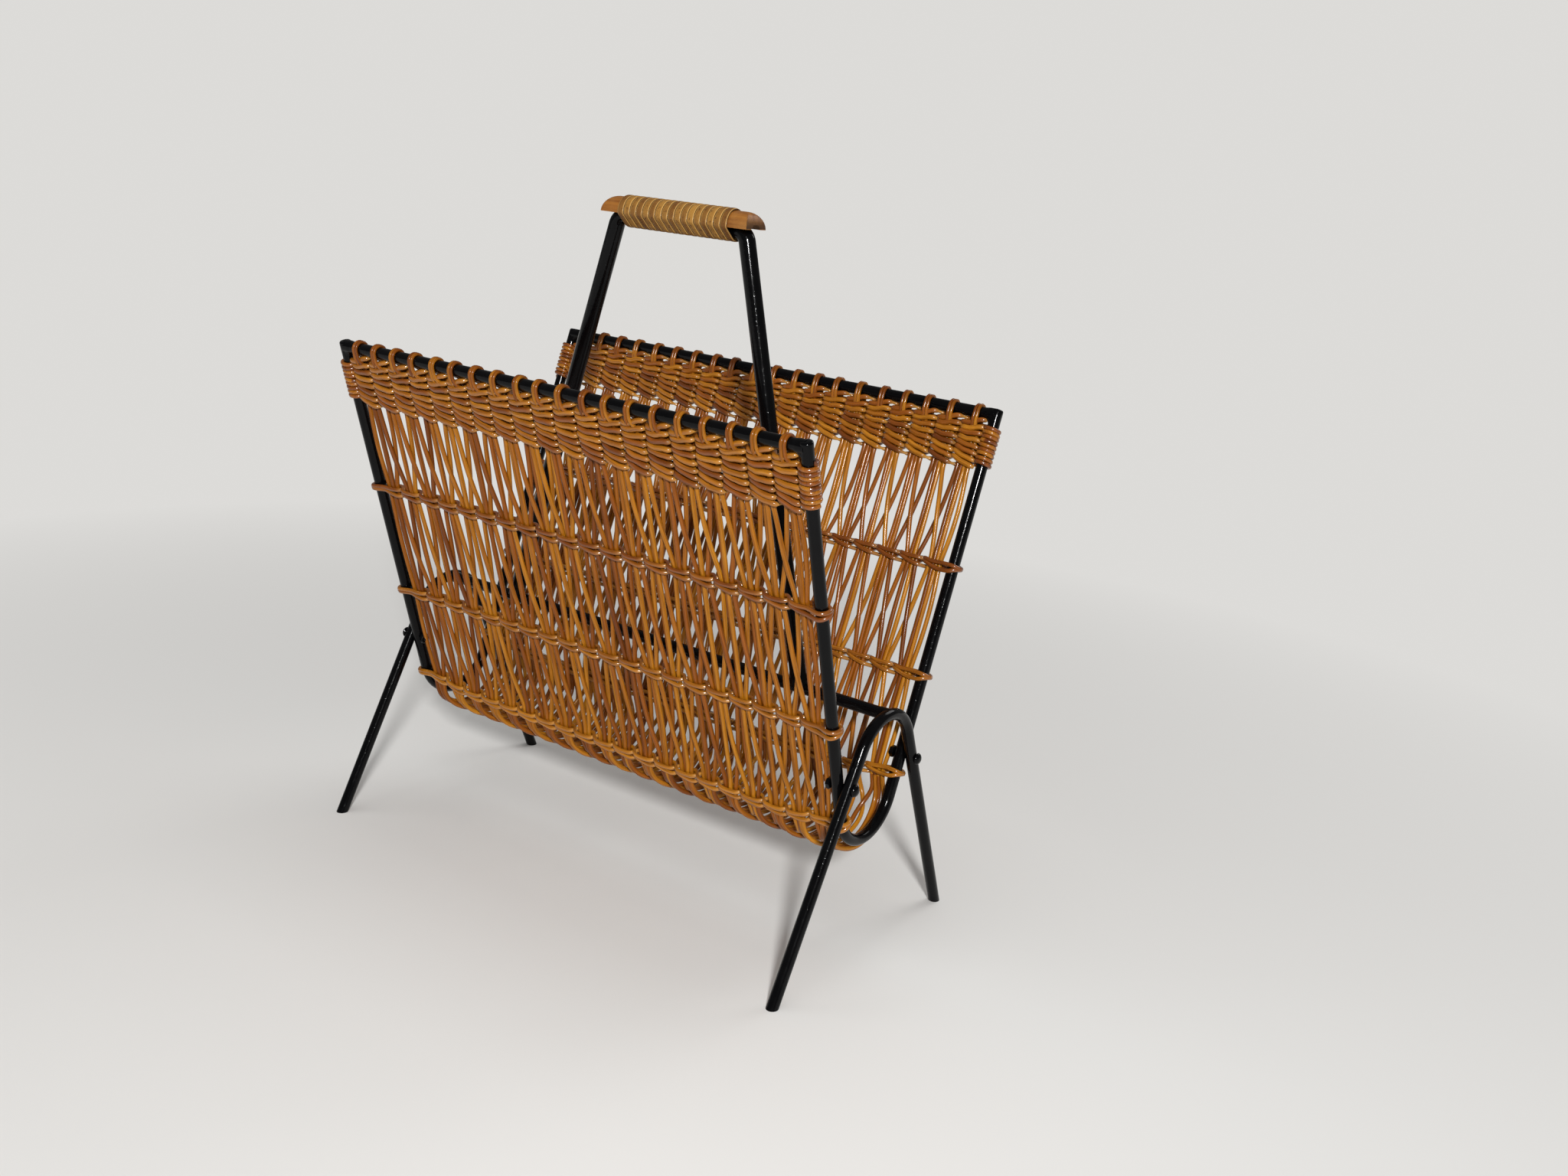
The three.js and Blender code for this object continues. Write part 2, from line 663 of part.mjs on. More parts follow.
for (const [end, outward] of [["left", -1], ["right", 1]]) {
  piece(basket, `end_hoop_${end}`, endHoop(outward * halfHoop), paint);
  piece(basket, `leg_hoop_${end}`, legHoop(outward * archPlane), paint);
}
addSide("front", frontRows, ["left", "right"], 0);
addSide("rear", rearRows, ["right", "left"], Math.PI);
piece(basket, "bottom_stakes", bottomStakes(), stakeReed);
const barReach = archPlane - rodRadius - clearance;
const midBar = piece(basket, "mid_bar", barAlongX(rodDiameter, -barReach, barReach, rodSides), paint);
midBar.position.z = archHeight;
piece(basket, "handle_rod", handleRod(), paint);
piece(basket, "grip_saddle", gripSaddle(), saddleCane);
piece(basket, "grip_binding", gripBinding(), bindingCane);

export default basket;
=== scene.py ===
# %% [markdown]
# # A magazine basket, dressed in Blender
# The real thing is an open wicker trough that hangs in a frame of black painted rod. The packed
# solids say where every piece is. This script puts on them what the solids leave out: single
# reeds that cross, twine and wrap, round rods with their welds, and the finishes. The solids are
# loaded first and stay where they are, because everything else is measured from them.

import math

import bmesh
import bpy
import numpy as np
from mathutils import Matrix, Vector


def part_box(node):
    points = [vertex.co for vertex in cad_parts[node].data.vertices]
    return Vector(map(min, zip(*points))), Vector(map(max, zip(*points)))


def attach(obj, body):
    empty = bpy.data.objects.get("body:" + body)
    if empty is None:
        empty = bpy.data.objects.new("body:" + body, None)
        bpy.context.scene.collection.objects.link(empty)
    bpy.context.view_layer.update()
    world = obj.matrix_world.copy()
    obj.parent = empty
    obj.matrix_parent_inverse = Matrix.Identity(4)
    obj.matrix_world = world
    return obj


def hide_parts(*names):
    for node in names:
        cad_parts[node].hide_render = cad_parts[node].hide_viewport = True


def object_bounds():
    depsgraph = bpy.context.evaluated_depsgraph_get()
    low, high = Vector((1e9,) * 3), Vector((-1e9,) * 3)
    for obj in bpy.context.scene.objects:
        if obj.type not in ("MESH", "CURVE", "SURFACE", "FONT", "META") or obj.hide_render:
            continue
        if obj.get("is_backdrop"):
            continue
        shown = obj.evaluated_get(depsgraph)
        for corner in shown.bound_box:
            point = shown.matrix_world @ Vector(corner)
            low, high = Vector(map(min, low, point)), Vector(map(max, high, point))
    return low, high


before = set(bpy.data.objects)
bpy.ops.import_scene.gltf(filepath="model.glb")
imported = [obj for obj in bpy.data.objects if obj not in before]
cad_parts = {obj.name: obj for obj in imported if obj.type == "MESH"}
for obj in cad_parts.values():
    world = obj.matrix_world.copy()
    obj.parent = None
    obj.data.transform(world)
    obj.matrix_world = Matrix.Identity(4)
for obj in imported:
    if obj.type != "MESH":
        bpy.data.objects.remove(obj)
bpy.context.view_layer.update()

# %% [markdown]
# The frame's sizes are read off the solids where a box gives them, and the bends, which a box
# can't give, are written down in metres. Left is -X, right is +X, and the front looks towards -Y.

# %% Sizes of the frame


def middle(node):
    """The middle of a node's box."""
    low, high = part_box(node)
    return (low + high) / 2


rod_radius, handle_radius = 0.004, 0.0055
rail = middle("top_rail_front")
half_rail, rail_height = -rail.y, rail.z
half_hoop = middle("end_hoop_right").x
arch_plane = middle("leg_hoop_right").x
bar_height = middle("mid_bar").z
trough_bend, trough_bottom = 0.0312, 0.0779
arch_bend, foot_spread = 0.0313, 0.1003
handle_foot, handle_corner, handle_height, handle_bend = 0.128, 0.0525, 0.44875, 0.008
print("rails", round(half_rail, 4), round(rail_height, 4), "hoops", round(half_hoop, 4))


def lean_of(half_spread, rise, bend):
    """The lean of a straight arm from its far end to a round bend, measured from upright."""
    return math.acos(bend / math.hypot(half_spread, rise)) - math.atan2(rise, half_spread)


trough_centre = trough_bottom + trough_bend
trough_lean = lean_of(half_rail, rail_height - trough_centre, trough_bend)
arm_rise = rail_height - trough_centre + trough_bend * math.sin(trough_lean)
arm_length = arm_rise / math.cos(trough_lean)
bend_length = trough_bend * (math.pi - 2 * trough_lean)
trough_length = 2 * arm_length + bend_length
print("round the trough", round(trough_length, 4), "lean", round(math.degrees(trough_lean), 2))

# %% [markdown]
# Everything woven follows one surface: down the front arm, round the bend and up the rear arm. So
# the reeds are laid out flat first, by three numbers: across along X, down from the front rail,
# and out of the trough. This function bends that flat layout round the trough.

# %% From the flat layout to the trough


def eased(share):
    """From 0 to 1, smooth at both ends, for numbers and arrays."""
    share = np.clip(share, 0, 1)
    return share * share * (3 - 2 * share)


def round_trough(across, down, out):
    """Places on the trough for arrays of across, down and out, in metres."""
    across, down, out = np.broadcast_arrays(across, down, out)
    mirrored = down > trough_length / 2
    near = np.where(mirrored, trough_length - down, down)
    turn = trough_lean + np.maximum(near - arm_length, 0) / trough_bend
    straight = np.minimum(near, arm_length)
    bent = near > arm_length
    y = np.where(bent, -trough_bend * np.cos(turn), -half_rail + straight * math.sin(trough_lean))
    z = np.where(bent, trough_centre - trough_bend * np.sin(turn),
                 rail_height - straight * math.cos(trough_lean))
    y, z = y - out * np.cos(turn), z - out * np.sin(turn)
    return np.stack([across, np.where(mirrored, -y, y), z], axis=-1)


def on_side(side, across, down, out):
    """The same for one side alone: the rear is the front turned half round."""
    points = round_trough(across, down, out)
    return points if side == "front" else points * np.array([-1, -1, 1])


print("lowest reed", np.round(round_trough(0, trough_length / 2, 0), 4))

# %% [markdown]
# Shader and geometry trees are both nets of nodes. A number that comes out of a socket is
# wrapped, so that sums on it can be written as sums, and every other node comes from one method.

# %% Writing nodes


class Number:
    """A socket that carries a number: sums and products of it add Math nodes."""

    def __init__(self, net, socket):
        self.net, self.socket = net, socket

    def math(self, operation, other=0.0, reflected=False):
        pair = (other, self) if reflected else (self, other)
        settings = {"operation": operation}
        return self.net.number("ShaderNodeMath", settings, {0: pair[0], 1: pair[1]})

    def __add__(self, other):
        return self.math("ADD", other)

    def __sub__(self, other):
        return self.math("SUBTRACT", other)

    def __rsub__(self, other):
        return self.math("SUBTRACT", other, reflected=True)

    def __mul__(self, other):
        return self.math("MULTIPLY", other)

    def __pow__(self, other):
        return self.math("POWER", other)

    def __rpow__(self, other):
        return self.math("POWER", other, reflected=True)

    def clamp(self):
        return self.math("MAXIMUM", 0.0).math("MINIMUM", 1.0)

    def above(self, low, high):
        """0 below low, 1 above high, straight between."""
        return ((self - low) * (1 / (high - low))).clamp()

    __radd__, __rmul__ = __add__, __mul__


class Net:
    """A node tree that is filled from its inputs to its outputs."""

    def __init__(self, tree):
        self.tree, self.inputs = tree, None

    def add(self, kind, settings=None, sockets=None):
        """A new node: its settings first, and then the values or links of its sockets."""
        node = self.tree.nodes.new(kind)
        for name, value in (settings or {}).items():
            if name == "stops":
                ramp = node.color_ramp
                while len(ramp.elements) < len(value):
                    ramp.elements.new(1.0)
                for element, (place, colour) in zip(ramp.elements, value):
                    element.position, element.color = place, (*colour, 1.0)
            else:
                setattr(node, name, value)
        self.feed(node, sockets or {})
        return node

    def feed(self, node, sockets):
        """Sets a node's sockets to values, or links them to other sockets."""
        for key, value in sockets.items():
            socket = node.inputs[key]
            value = value.socket if isinstance(value, Number) else value
            if isinstance(value, bpy.types.NodeSocket):
                self.tree.links.new(value, socket)
            else:
                socket.default_value = value

    def socket(self, *words, output=0):
        """What comes out of a new node."""
        return self.add(*words).outputs[output]

    def number(self, *words, output=0):
        return Number(self, self.socket(*words, output=output))

    def vector(self, x=0.0, y=0.0, z=0.0):
        return self.socket("ShaderNodeCombineXYZ", None, {0: x, 1: y, 2: z})

    def given(self, label):
        """One of a geometry tree's own inputs."""
        return Number(self, self.inputs[label])


print("nodes are written by", Number.__name__, "and", Net.__name__)

# %% [markdown]
# A finish is a Principled shader whose colour, roughness and bump come from noise. These helpers
# are what all the finishes share. The sweeps further down store three things on each reed: a
# number of its own, how far along it a point lies, and where round it. So streaks can follow it.

# %% What finishes are made of


def finish(name):
    """A new material: the material, its net and its shader."""
    material = bpy.data.materials.new(name)
    material.use_nodes = True
    net = Net(material.node_tree)
    net.tree.nodes.clear()
    shader = net.add("ShaderNodeBsdfPrincipled")
    net.add("ShaderNodeOutputMaterial", None, {"Surface": shader.outputs[0]})
    return material, net, shader


def mix(net, share, first, second):
    """A colour between two."""
    first, second = [(*c, 1.0) if isinstance(c, tuple) else c for c in (first, second)]
    sockets = {0: share, 6: first, 7: second}
    return net.socket("ShaderNodeMix", {"data_type": "RGBA"}, sockets, output=2)


def stored(net, name, output="Fac"):
    """What a sweep has stored on its surface."""
    found = net.socket("ShaderNodeAttribute", {"attribute_name": name}, output=output)
    return found if output == "Vector" else Number(net, found)


def noise(net, place, scale, detail=2.0, roughness=0.5):
    settings = {"Vector": place, "Scale": scale, "Detail": detail, "Roughness": roughness}
    return net.number("ShaderNodeTexNoise", None, settings)


def bumped(net, height, strength, depth):
    """The surface raised where a number is high."""
    sockets = {"Strength": strength, "Distance": depth, "Height": height}
    return net.socket("ShaderNodeBump", None, sockets)


def object_place(net):
    return net.socket("ShaderNodeTexCoord", output="Object")


print("finishes are mixed from", noise.__name__, "and", mix.__name__)

# %% [markdown]
# Reed is the pith of a climbing palm, cut round and varnished. No two lengths have the same
# colour, streaks run along each one, and the varnish shines. The stakes are the palest and
# dullest, and the rows the brownest and glossiest.

# %% Reed finishes


def reed_finish(name, golden, brown, dark, gloss, varnish):
    """Varnished reed: each length lies between golden, brown and dark, with darker streaks.

    Where the stored share of painted light is above 0 the reed is darkened with painted shade,
    as in a hollow, and below 0 it's lightened with a painted highlight.
    """
    # the tone of the painted highlight, laid where the stored share is below 0
    painted_highlight = (0.64, 0.34, 0.08)
    material, net, shader = finish(name)
    own, reach, deep = stored(net, "strand"), stored(net, "reach"), stored(net, "deep")
    # each reed reads its own stretch of the noise, drawn out along its length
    shift = net.vector(own * 91.0, own * 37.0, reach * 28.0)
    place = net.socket("ShaderNodeVectorMath", {"operation": "ADD"},
                       {0: stored(net, "section", "Vector"), 1: shift})
    grain, cloud = noise(net, place, 1.7, 5.0, 0.62), noise(net, place, 0.32)
    stains = noise(net, place, 4.5, 3.0, 0.7)
    tone = own * 0.75 + cloud.above(0.3, 0.7) * 0.25
    stops = [(0.0, dark), (0.4, brown), (1.0, golden)]
    colour = net.socket("ShaderNodeValToRGB", {"stops": stops}, {0: tone})
    colour = mix(net, grain.above(0.42, 0.68) * 0.6, colour, dark)
    colour = mix(net, stains.above(0.62, 0.72) * 0.5, colour, dark)
    # painted shade where the stored share is above 0, and a paler painted highlight below 0
    colour = mix(net, deep.clamp() * 0.8, colour, dark)
    colour = mix(net, (deep * -0.8).clamp(), colour, painted_highlight)
    net.feed(shader, {
        "Base Color": colour, "Roughness": gloss + grain * 0.2, "Specular IOR Level": 0.1,
        "Coat Weight": grain.above(0.75, 0.3) * 0.4 + varnish, "Coat Roughness": 0.17,
        "Normal": bumped(net, grain, 0.4, 0.0002)})
    return material


stake_finish = reed_finish("stake_reed_finish", golden=(0.45, 0.180, 0.007),
                           brown=(0.25, 0.070, 0.003), dark=(0.105, 0.024, 0.001),
                           gloss=0.4, varnish=0.2)
band_finish = reed_finish("band_reed_finish", golden=(0.43, 0.165, 0.007),
                          brown=(0.23, 0.061, 0.003), dark=(0.070, 0.014, 0.001),
                          gloss=0.36, varnish=0.85)
row_finish = reed_finish("row_reed_finish", golden=(0.45, 0.170, 0.007),
                         brown=(0.19, 0.048, 0.003), dark=(0.055, 0.011, 0.001),
                         gloss=0.36, varnish=0.9)
print("reed finishes", stake_finish.name, band_finish.name, row_finish.name)

# %% [markdown]
# The rods are steel with thick black gloss paint. The paint has run a little and holds small
# pimples, so its highlights are long and sharp, but broken.

# %% Black gloss paint
paint_finish, net, shader = finish("black_paint_finish")
place = object_place(net)
runs, pimples = noise(net, place, 150.0), noise(net, place, 800.0, 1.0)
dust = noise(net, place, 45.0, 4.0, 0.65)
black, dusty = (0.0012, 0.0012, 0.0015), (0.004, 0.0038, 0.004)
relief = runs * 0.8 + pimples.above(0.6, 0.85) * 0.4
net.feed(shader, {
    "Base Color": mix(net, dust.above(0.45, 0.8) * 0.5, black, dusty),
    "Roughness": dust * 0.14 + 0.05, "Specular IOR Level": 0.16,
    "Normal": bumped(net, relief, 0.3, 0.0004)})
print("paint", paint_finish.name)

# %% [markdown]
# A sweep turns a line into a reed or a rod. It could be done with a curve's own bevel, but a
# Geometry Nodes tree can also make each reed a little uneven and store the numbers that the
# finish needs. The lines come in as a mesh of edges with a number, a reach, a girth and a share of
# painted shade (above 0) and painted highlight (below 0) on each point.

# %% The tree of a sweep


def new_tree(name, sizes, counts=()):
    """A net for a new geometry tree: it is given geometry, sizes, counts and a material."""
    tree = bpy.data.node_groups.new(name, "GeometryNodeTree")
    inputs = [("Geometry", "Geometry"), *[(label, "Float") for label in sizes],
              *[(label, "Int") for label in counts], ("Material", "Material")]
    for label, kind in inputs:
        tree.interface.new_socket(name=label, in_out="INPUT", socket_type=f"NodeSocket{kind}")
    tree.interface.new_socket(name="Geometry", in_out="OUTPUT", socket_type="NodeSocketGeometry")
    net = Net(tree)
    net.inputs = net.add("NodeGroupInput").outputs
    return net


def attribute(net, name, kind="FLOAT"):
    """What is stored on the points under a name."""
    found = net.number("GeometryNodeInputNamedAttribute", {"data_type": kind}, {"Name": name})
    return found if kind == "FLOAT" else found.socket


def with_attribute(net, geometry, name, value, kind="FLOAT"):
    """The geometry with a value stored on its points under a name."""
    return net.socket("GeometryNodeStoreNamedAttribute", {"data_type": kind, "domain": "POINT"},
                      {"Geometry": geometry, "Name": name, "Value": value})


def close_tree(net, body):
    """The end of every tree: smooth faces, real geometry and a material."""
    smooth = net.socket("GeometryNodeSetShadeSmooth", None,
                        {"Geometry": body, "Shade Smooth": True})
    real = net.socket("GeometryNodeRealizeInstances", None, {"Geometry": smooth})
    dressed = net.socket("GeometryNodeSetMaterial", None,
                         {"Geometry": real, "Material": net.given("Material")})
    net.add("NodeGroupOutput", None, {0: dressed})


def swept(net, curves):
    """The end of a sweep's tree: gives curves a round, slightly uneven section."""
    place = net.socket("GeometryNodeInputPosition")
    waver = net.number("ShaderNodeTexNoise", {"noise_dimensions": "4D"}, {
        "Vector": place, "W": attribute(net, "strand") * 77.0, "Scale": 70.0, "Detail": 1.0})
    scale = attribute(net, "girth") * net.given("Radius")
    scale = scale * ((waver - 0.5) * net.given("Unevenness") + 1.0)
    circle = net.socket("GeometryNodeCurvePrimitiveCircle", {"mode": "RADIUS"},
                        {"Resolution": net.given("Sides"), "Radius": 1.0})
    profile = with_attribute(net, circle, "section", place, "FLOAT_VECTOR")
    close_tree(net, net.socket("GeometryNodeCurveToMesh", None, {
        "Curve": curves, "Profile Curve": profile, "Scale": scale, "Fill Caps": True}))


SWEEP_SIZES, SWEEP_COUNTS = ("Radius", "Unevenness"), ("Sides",)
net = new_tree("Sweep along edges", SWEEP_SIZES, SWEEP_COUNTS)
swept(net, net.socket("GeometryNodeMeshToCurve", None, {"Mesh": net.given("Geometry")}))
sweep_tree = net.tree
print("sweep tree", len(sweep_tree.nodes), "nodes")

# %% [markdown]
# A tree needs a mesh to start from and gives back a plain mesh. These helpers write the lines into
# a mesh, let a tree grow a piece from it, and say what the piece stands for.

# %% From lines to a piece
GOLDEN = 0.61803  # each next number is this much of a turn further, so neighbours differ


def lines_mesh(name, lines, girths=None, closed=False, marks=None, shade_and_highlight=None):
    """A mesh of edges through lists of points, with what the sweep and the finish read.

    A mark is a line's own number and the reach at its start.
    """
    points, edges = [], []
    # the last value is a share of painted shade (above 0) and of painted highlight (below 0)
    values = {"strand": [], "reach": [], "girth": [], "deep": []}
    for number, line in enumerate(lines):
        line = np.asarray(line, float)
        first, count = sum(len(part) for part in points), len(line)
        edges += [(first + i, first + i + 1) for i in range(count - 1)]
        if closed:
            edges.append((first + count - 1, first))
        own, start = marks[number] if marks else (math.modf((number + 1) * GOLDEN)[0], 0.0)
        steps = np.linalg.norm(np.diff(line, axis=0), axis=1)
        points.append(line)
        values["strand"].append(np.full(count, own))
        values["reach"].append(start + np.concatenate([[0], np.cumsum(steps)]))
        values["girth"].append(girths[number] if girths else np.ones(count))
        values["deep"].append(shade_and_highlight[number] if shade_and_highlight else np.zeros(count))
    mesh = bpy.data.meshes.new(name)
    mesh.from_pydata(np.concatenate(points).tolist(), edges, [])
    for label, parts in values.items():
        target = mesh.attributes.new(label, "FLOAT", "POINT")
        target.data.foreach_set("value", np.concatenate(parts).astype(np.float32))
    return mesh


def grown(name, mesh, tree, **inputs):
    """The plain mesh object that a tree makes from a mesh."""
    source = bpy.data.objects.new(name + "_source", mesh)
    bpy.context.scene.collection.objects.link(source)
    modifier = source.modifiers.new("Tree", "NODES")
    modifier.node_group = tree
    for socket in tree.interface.items_tree:
        label = socket.name.replace(" ", "_").lower()
        if socket.in_out == "INPUT" and label in inputs:
            modifier[socket.identifier] = inputs[label]
    ready = source.evaluated_get(bpy.context.evaluated_depsgraph_get())
    made = bpy.data.meshes.new_from_object(ready)
    made.name = name
    piece = bpy.data.objects.new(name, made)
    bpy.context.scene.collection.objects.link(piece)
    bpy.data.objects.remove(source)
    return piece


def settle(piece, slot, *nodes):
    """Hides the solids that a finished piece stands for, and hangs it on the root."""
    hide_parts(*nodes)
    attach(piece, "root")
    piece.data.calc_loop_triangles()
    print(piece.name, len(piece.data.loop_triangles), "triangles, for", ", ".join(nodes))
    return piece


print("pieces are made by", grown.__name__, "and placed by", settle.__name__)

# %% [markdown]
# The rods are bent cold from steel and welded. A rail runs into each arm, and a fillet of weld
# rounds the corner under it. Each rod is a line with a girth at every point: the girth grows a
# little where a weld holds it, and closes to a blunt, rounded end at the top of an arm.

# %% How a rod is made
ROD_SIDES, ROD_STEP, FILLET_GIRTH = 32, 0.02, 0.93
# the girth from a rod's tip inwards, as (share of the end's reach, share of the radius)
BLUNT = [(0.0, 0.05), (0.012, 0.45), (0.03, 0.64), (0.08, 0.82), (0.19, 0.95), (0.38, 1.0),
         (1.0, 1.0)]
WELD = [(0.0, 1.1), (0.6, 1.1), (0.75, 1.07), (0.88, 1.02), (1.0, 1.0)]


def arc(centre, radius, start, end, steps):
    angles = np.linspace(start, end, steps + 1)
    return np.stack([centre[0] + radius * np.cos(angles), centre[1] + radius * np.sin(angles)],
                    axis=1)


def in_plane(x, outline):
    """Points in the plane at x from points (y, z)."""
    outline = np.asarray(outline, float)
    return np.column_stack([np.full(len(outline), x), outline])


def finer(points, step):
    """The same line with points no further apart than step. A fourth number is no length."""
    out = [points[0]]
    for a, b in zip(points[:-1], points[1:]):
        count = max(1, math.ceil(np.linalg.norm((b - a)[:3]) / step))
        out += [a + (b - a) * (i + 1) / count for i in range(count)]
    return np.array(out)


def with_ends(points, ends, reach):
    """Adds the rings that an end's profile asks for, and gives the girth at each point."""
    line, girth = list(points), [1.0] * len(points)
    for profile in ends:
        if profile is not None:
            tip, inner = line[0], line[1]
            way = (inner - tip) / np.linalg.norm(inner - tip)
            line[:1] = [tip + way * reach * share for share, _ in profile]
            girth[:1] = [size for _, size in profile]
        line, girth = line[::-1], girth[::-1]
    return np.array(line), np.array(girth)


def rod(name, points, radius, ends, node, reach=rod_radius, fillets=()):
    """One painted rod along points, with a profile or None for each end."""
    line, girth = with_ends(finer(points, ROD_STEP), ends, reach)
    girths = [girth, *[np.full(len(fillet), FILLET_GIRTH) for fillet in fillets]]
    piece = grown(name, lines_mesh(name, [line, *fillets], girths), sweep_tree,
                  radius=radius, sides=ROD_SIDES, unevenness=0.0, material=paint_finish)
    return settle(piece, "black_paint", node)


print("ends", len(BLUNT), "rings blunt,", len(WELD), "rings welded")

# %% [markdown]
# Two U-shaped hoops end the trough, two arches carry it, and two rails and a middle bar join them.
# The feet are cut level, as the solids are, so their last ring is slid down onto the floor.

# %% Rods of the frame
BEND_STEPS = 32
top_reach = rod_radius / math.cos(math.pi / 12) * 0.98  # an arm ends just inside its solid
tip_y = half_rail + top_reach * math.sin(trough_lean)
tip_z = rail_height + top_reach * math.cos(trough_lean)
bend = arc((0, trough_centre), trough_bend, math.pi + trough_lean, 2 * math.pi - trough_lean,
           BEND_STEPS)
for end, x in (("left", -half_hoop), ("right", half_hoop)):
    rod(f"end_hoop_{end}_rod", in_plane(x, [(-tip_y, tip_z), *bend, (tip_y, tip_z)]),
        rod_radius, (BLUNT, BLUNT), f"end_hoop_{end}")

leg_lean = lean_of(foot_spread, bar_height - arch_bend, arch_bend)
bend = arc((0, bar_height - arch_bend), arch_bend, math.pi - leg_lean, leg_lean, BEND_STEPS)
for end, x in (("left", -arch_plane), ("right", arch_plane)):
    leg = rod(f"leg_hoop_{end}_rod", in_plane(x, [(-foot_spread, 0), *bend, (foot_spread, 0)]),
              rod_radius, (None, None), f"leg_hoop_{end}")
    for vertex in leg.data.vertices:
        if abs(vertex.co.z) < rod_radius:
            vertex.co.y += math.copysign(math.tan(leg_lean), vertex.co.y) * vertex.co.z
            vertex.co.z = 0

weld_reach, fillet_bend = 2 * rod_radius, 0.0085
corner = arc((half_hoop - fillet_bend, fillet_bend), fillet_bend, -math.pi / 2, 0, 8)
for side, y in (("front", -half_rail), ("rear", half_rail)):
    line = np.array([(-half_hoop, y, rail_height), (half_hoop, y, rail_height)])
    fillets = [on_side(side, sign * corner[:, 0], corner[:, 1], 0.0) for sign in (-1, 1)]
    rod(f"top_rail_{side}_rod", line, rod_radius, (WELD, WELD), f"top_rail_{side}",
        weld_reach, fillets)
line = np.array([(-arch_plane, 0, bar_height), (arch_plane, 0, bar_height)])
rod("mid_bar_rod", line, rod_radius, (WELD, WELD), "mid_bar", weld_reach)

# %% [markdown]
# The handle is one thicker rod. Its posts lean in, turn sharply and run level under the grip, and
# their feet stand on the middle bar in a weld.

# %% Handle
handle_lean = math.atan2(handle_foot - handle_corner, handle_height - bar_height)
before_corner = handle_bend * math.tan((math.pi / 2 - handle_lean) / 2)
bend = arc((handle_corner - before_corner, handle_height - handle_bend), handle_bend,
           math.pi / 2, handle_lean, 12)
foot_rise = 0.0015  # a foot starts inside the bar's upper half, where the weld hides it
foot_height = bar_height + foot_rise
foot = handle_foot - (foot_height - bar_height) * math.tan(handle_lean)
right = [(x, 0, z) for x, z in [*bend, (foot, foot_height)]]
line = np.array([(-x, y, z) for x, y, z in right[::-1]] + right)
rod("handle_rod_bow", line, handle_radius, (WELD, WELD), "handle_rod", weld_reach)

# %% [markdown]
# A round-head screw goes through both rods at each of the four crossings, and a hexagon nut sits
# on its end, inside. Turned pieces like these are sweeps along their own axis, with the girth as
# profile.

# %% Screws and nuts
screw_centre = middle("screw_front_right")
nut_radius, screw_radius, head_radius, head_height, chamfer = 0.00404, 0.002, 0.004, 0.0026, 0.0004
head_girth = head_radius / screw_radius
step_length = 0.00001  # from shank to head, and never 0, because a sweep needs a direction
dome = [(math.sin(a), math.cos(a)) for a in np.radians([8, 20, 34, 48, 62, 75, 84, 88.5])]


def turned(name, rings, y, radius, sides):
    """A piece turned about a line along X, from its rings (x, girth)."""
    line = np.array([(x, y, screw_centre.z) for x, _ in rings])
    mesh = lines_mesh(name, [line], [[girth for _, girth in rings]])
    return grown(name, mesh, sweep_tree, radius=radius, sides=sides, unevenness=0.0,
                 material=paint_finish)


for side, sign in (("front", 1), ("rear", -1)):
    y = sign * screw_centre.y
    for end, outward in (("left", -1), ("right", 1)):
        low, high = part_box(f"screw_{side}_{end}")
        tip, tail = (low.x, high.x) if outward < 0 else (high.x, low.x)
        seat = tip - outward * head_height
        rings = [(tail, 0.6), (tail + outward * chamfer, 1.0), (seat, 1.0),
                 (seat + outward * step_length, head_girth)]
        rings += [(seat + outward * head_height * along, head_girth * size) for along, size in dome]
        piece = turned(f"screw_{side}_{end}_turned", rings, y, screw_radius, 24)
        settle(piece, "black_paint", f"screw_{side}_{end}")
        low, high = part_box(f"nut_{side}_{end}")
        rings = [(low.x, 0.88), (low.x + chamfer, 1.0), (high.x - chamfer, 1.0), (high.x, 0.88)]
        piece = turned(f"nut_{side}_{end}_hexagon", rings, y, nut_radius, 6)
        for polygon in piece.data.polygons:
            polygon.use_smooth = False
        settle(piece, "black_paint", f"nut_{side}_{end}")

# %% [markdown]
# The stakes are reeds folded over the rails, two at each of twenty columns, so four strands hang
# from each. At every row the four are gathered side by side. First come the levels at which they
# are gathered, and how far outside the hoops' line they hang under the trough.

# %% Columns and levels of the stakes
reed_radius = 0.00158
columns, pitch = 20, 0.0183
slots = np.array([-0.0040, -0.0010, 0.0010, 0.0040])
band_foot = 0.038
below_row = 0.0012  # the sides' reeds end and the bottom's begin this far below the last row
sag_depth, sag_run, sag_lead = 0.008, 0.026, 0.008


def row_places(side):
    """How far down its arm each row of one side lies."""
    places = []
    for number in (1, 2, 3):
        centre = middle(f"{side}_row_{number}")
        straight = (rail_height - centre.z) / math.cos(trough_lean)
        turn = math.atan2(trough_centre - centre.z, abs(centre.y)) - trough_lean
        places.append(straight if straight < arm_length else arm_length + turn * trough_bend)
    return places


def sag(down):
    """How far outside the hoops' line the reeds hang, under the trough."""
    past = np.minimum(down - front_rows[2], trough_length - rear_rows[2] - down)
    return sag_depth * eased((past + sag_lead) / sag_run)


def column_place(column):
    return (column - (columns - 1) / 2) * pitch


front_rows, rear_rows = row_places("front"), row_places("rear")
levels = [band_foot, *front_rows, *[trough_length - row for row in rear_rows[::-1]],
          trough_length - band_foot]
front_cut, rear_cut = front_rows[2] + below_row, trough_length - rear_rows[2] - below_row
print("rows", np.round(front_rows, 4), np.round(rear_rows, 4))

# %% [markdown]
# Between rows the two inner strands run straight, and the outer two cross to the next column,
# which makes the open lattice. Below the last row they run on round the bottom in bundles. A
# strand is laid out flat, from level to level, and small random shifts keep it from looking drawn
# with a ruler. The random numbers have a fixed seed.

# %% Where the strands go
chance = np.random.RandomState(7)
shifts = chance.uniform(-0.0004, 0.0004, (len(levels), columns, len(slots)))
shifts[0] = shifts[-1] = 0
gather = 0.003  # how far to both sides of a row the strands run side by side
point_step = 0.0025
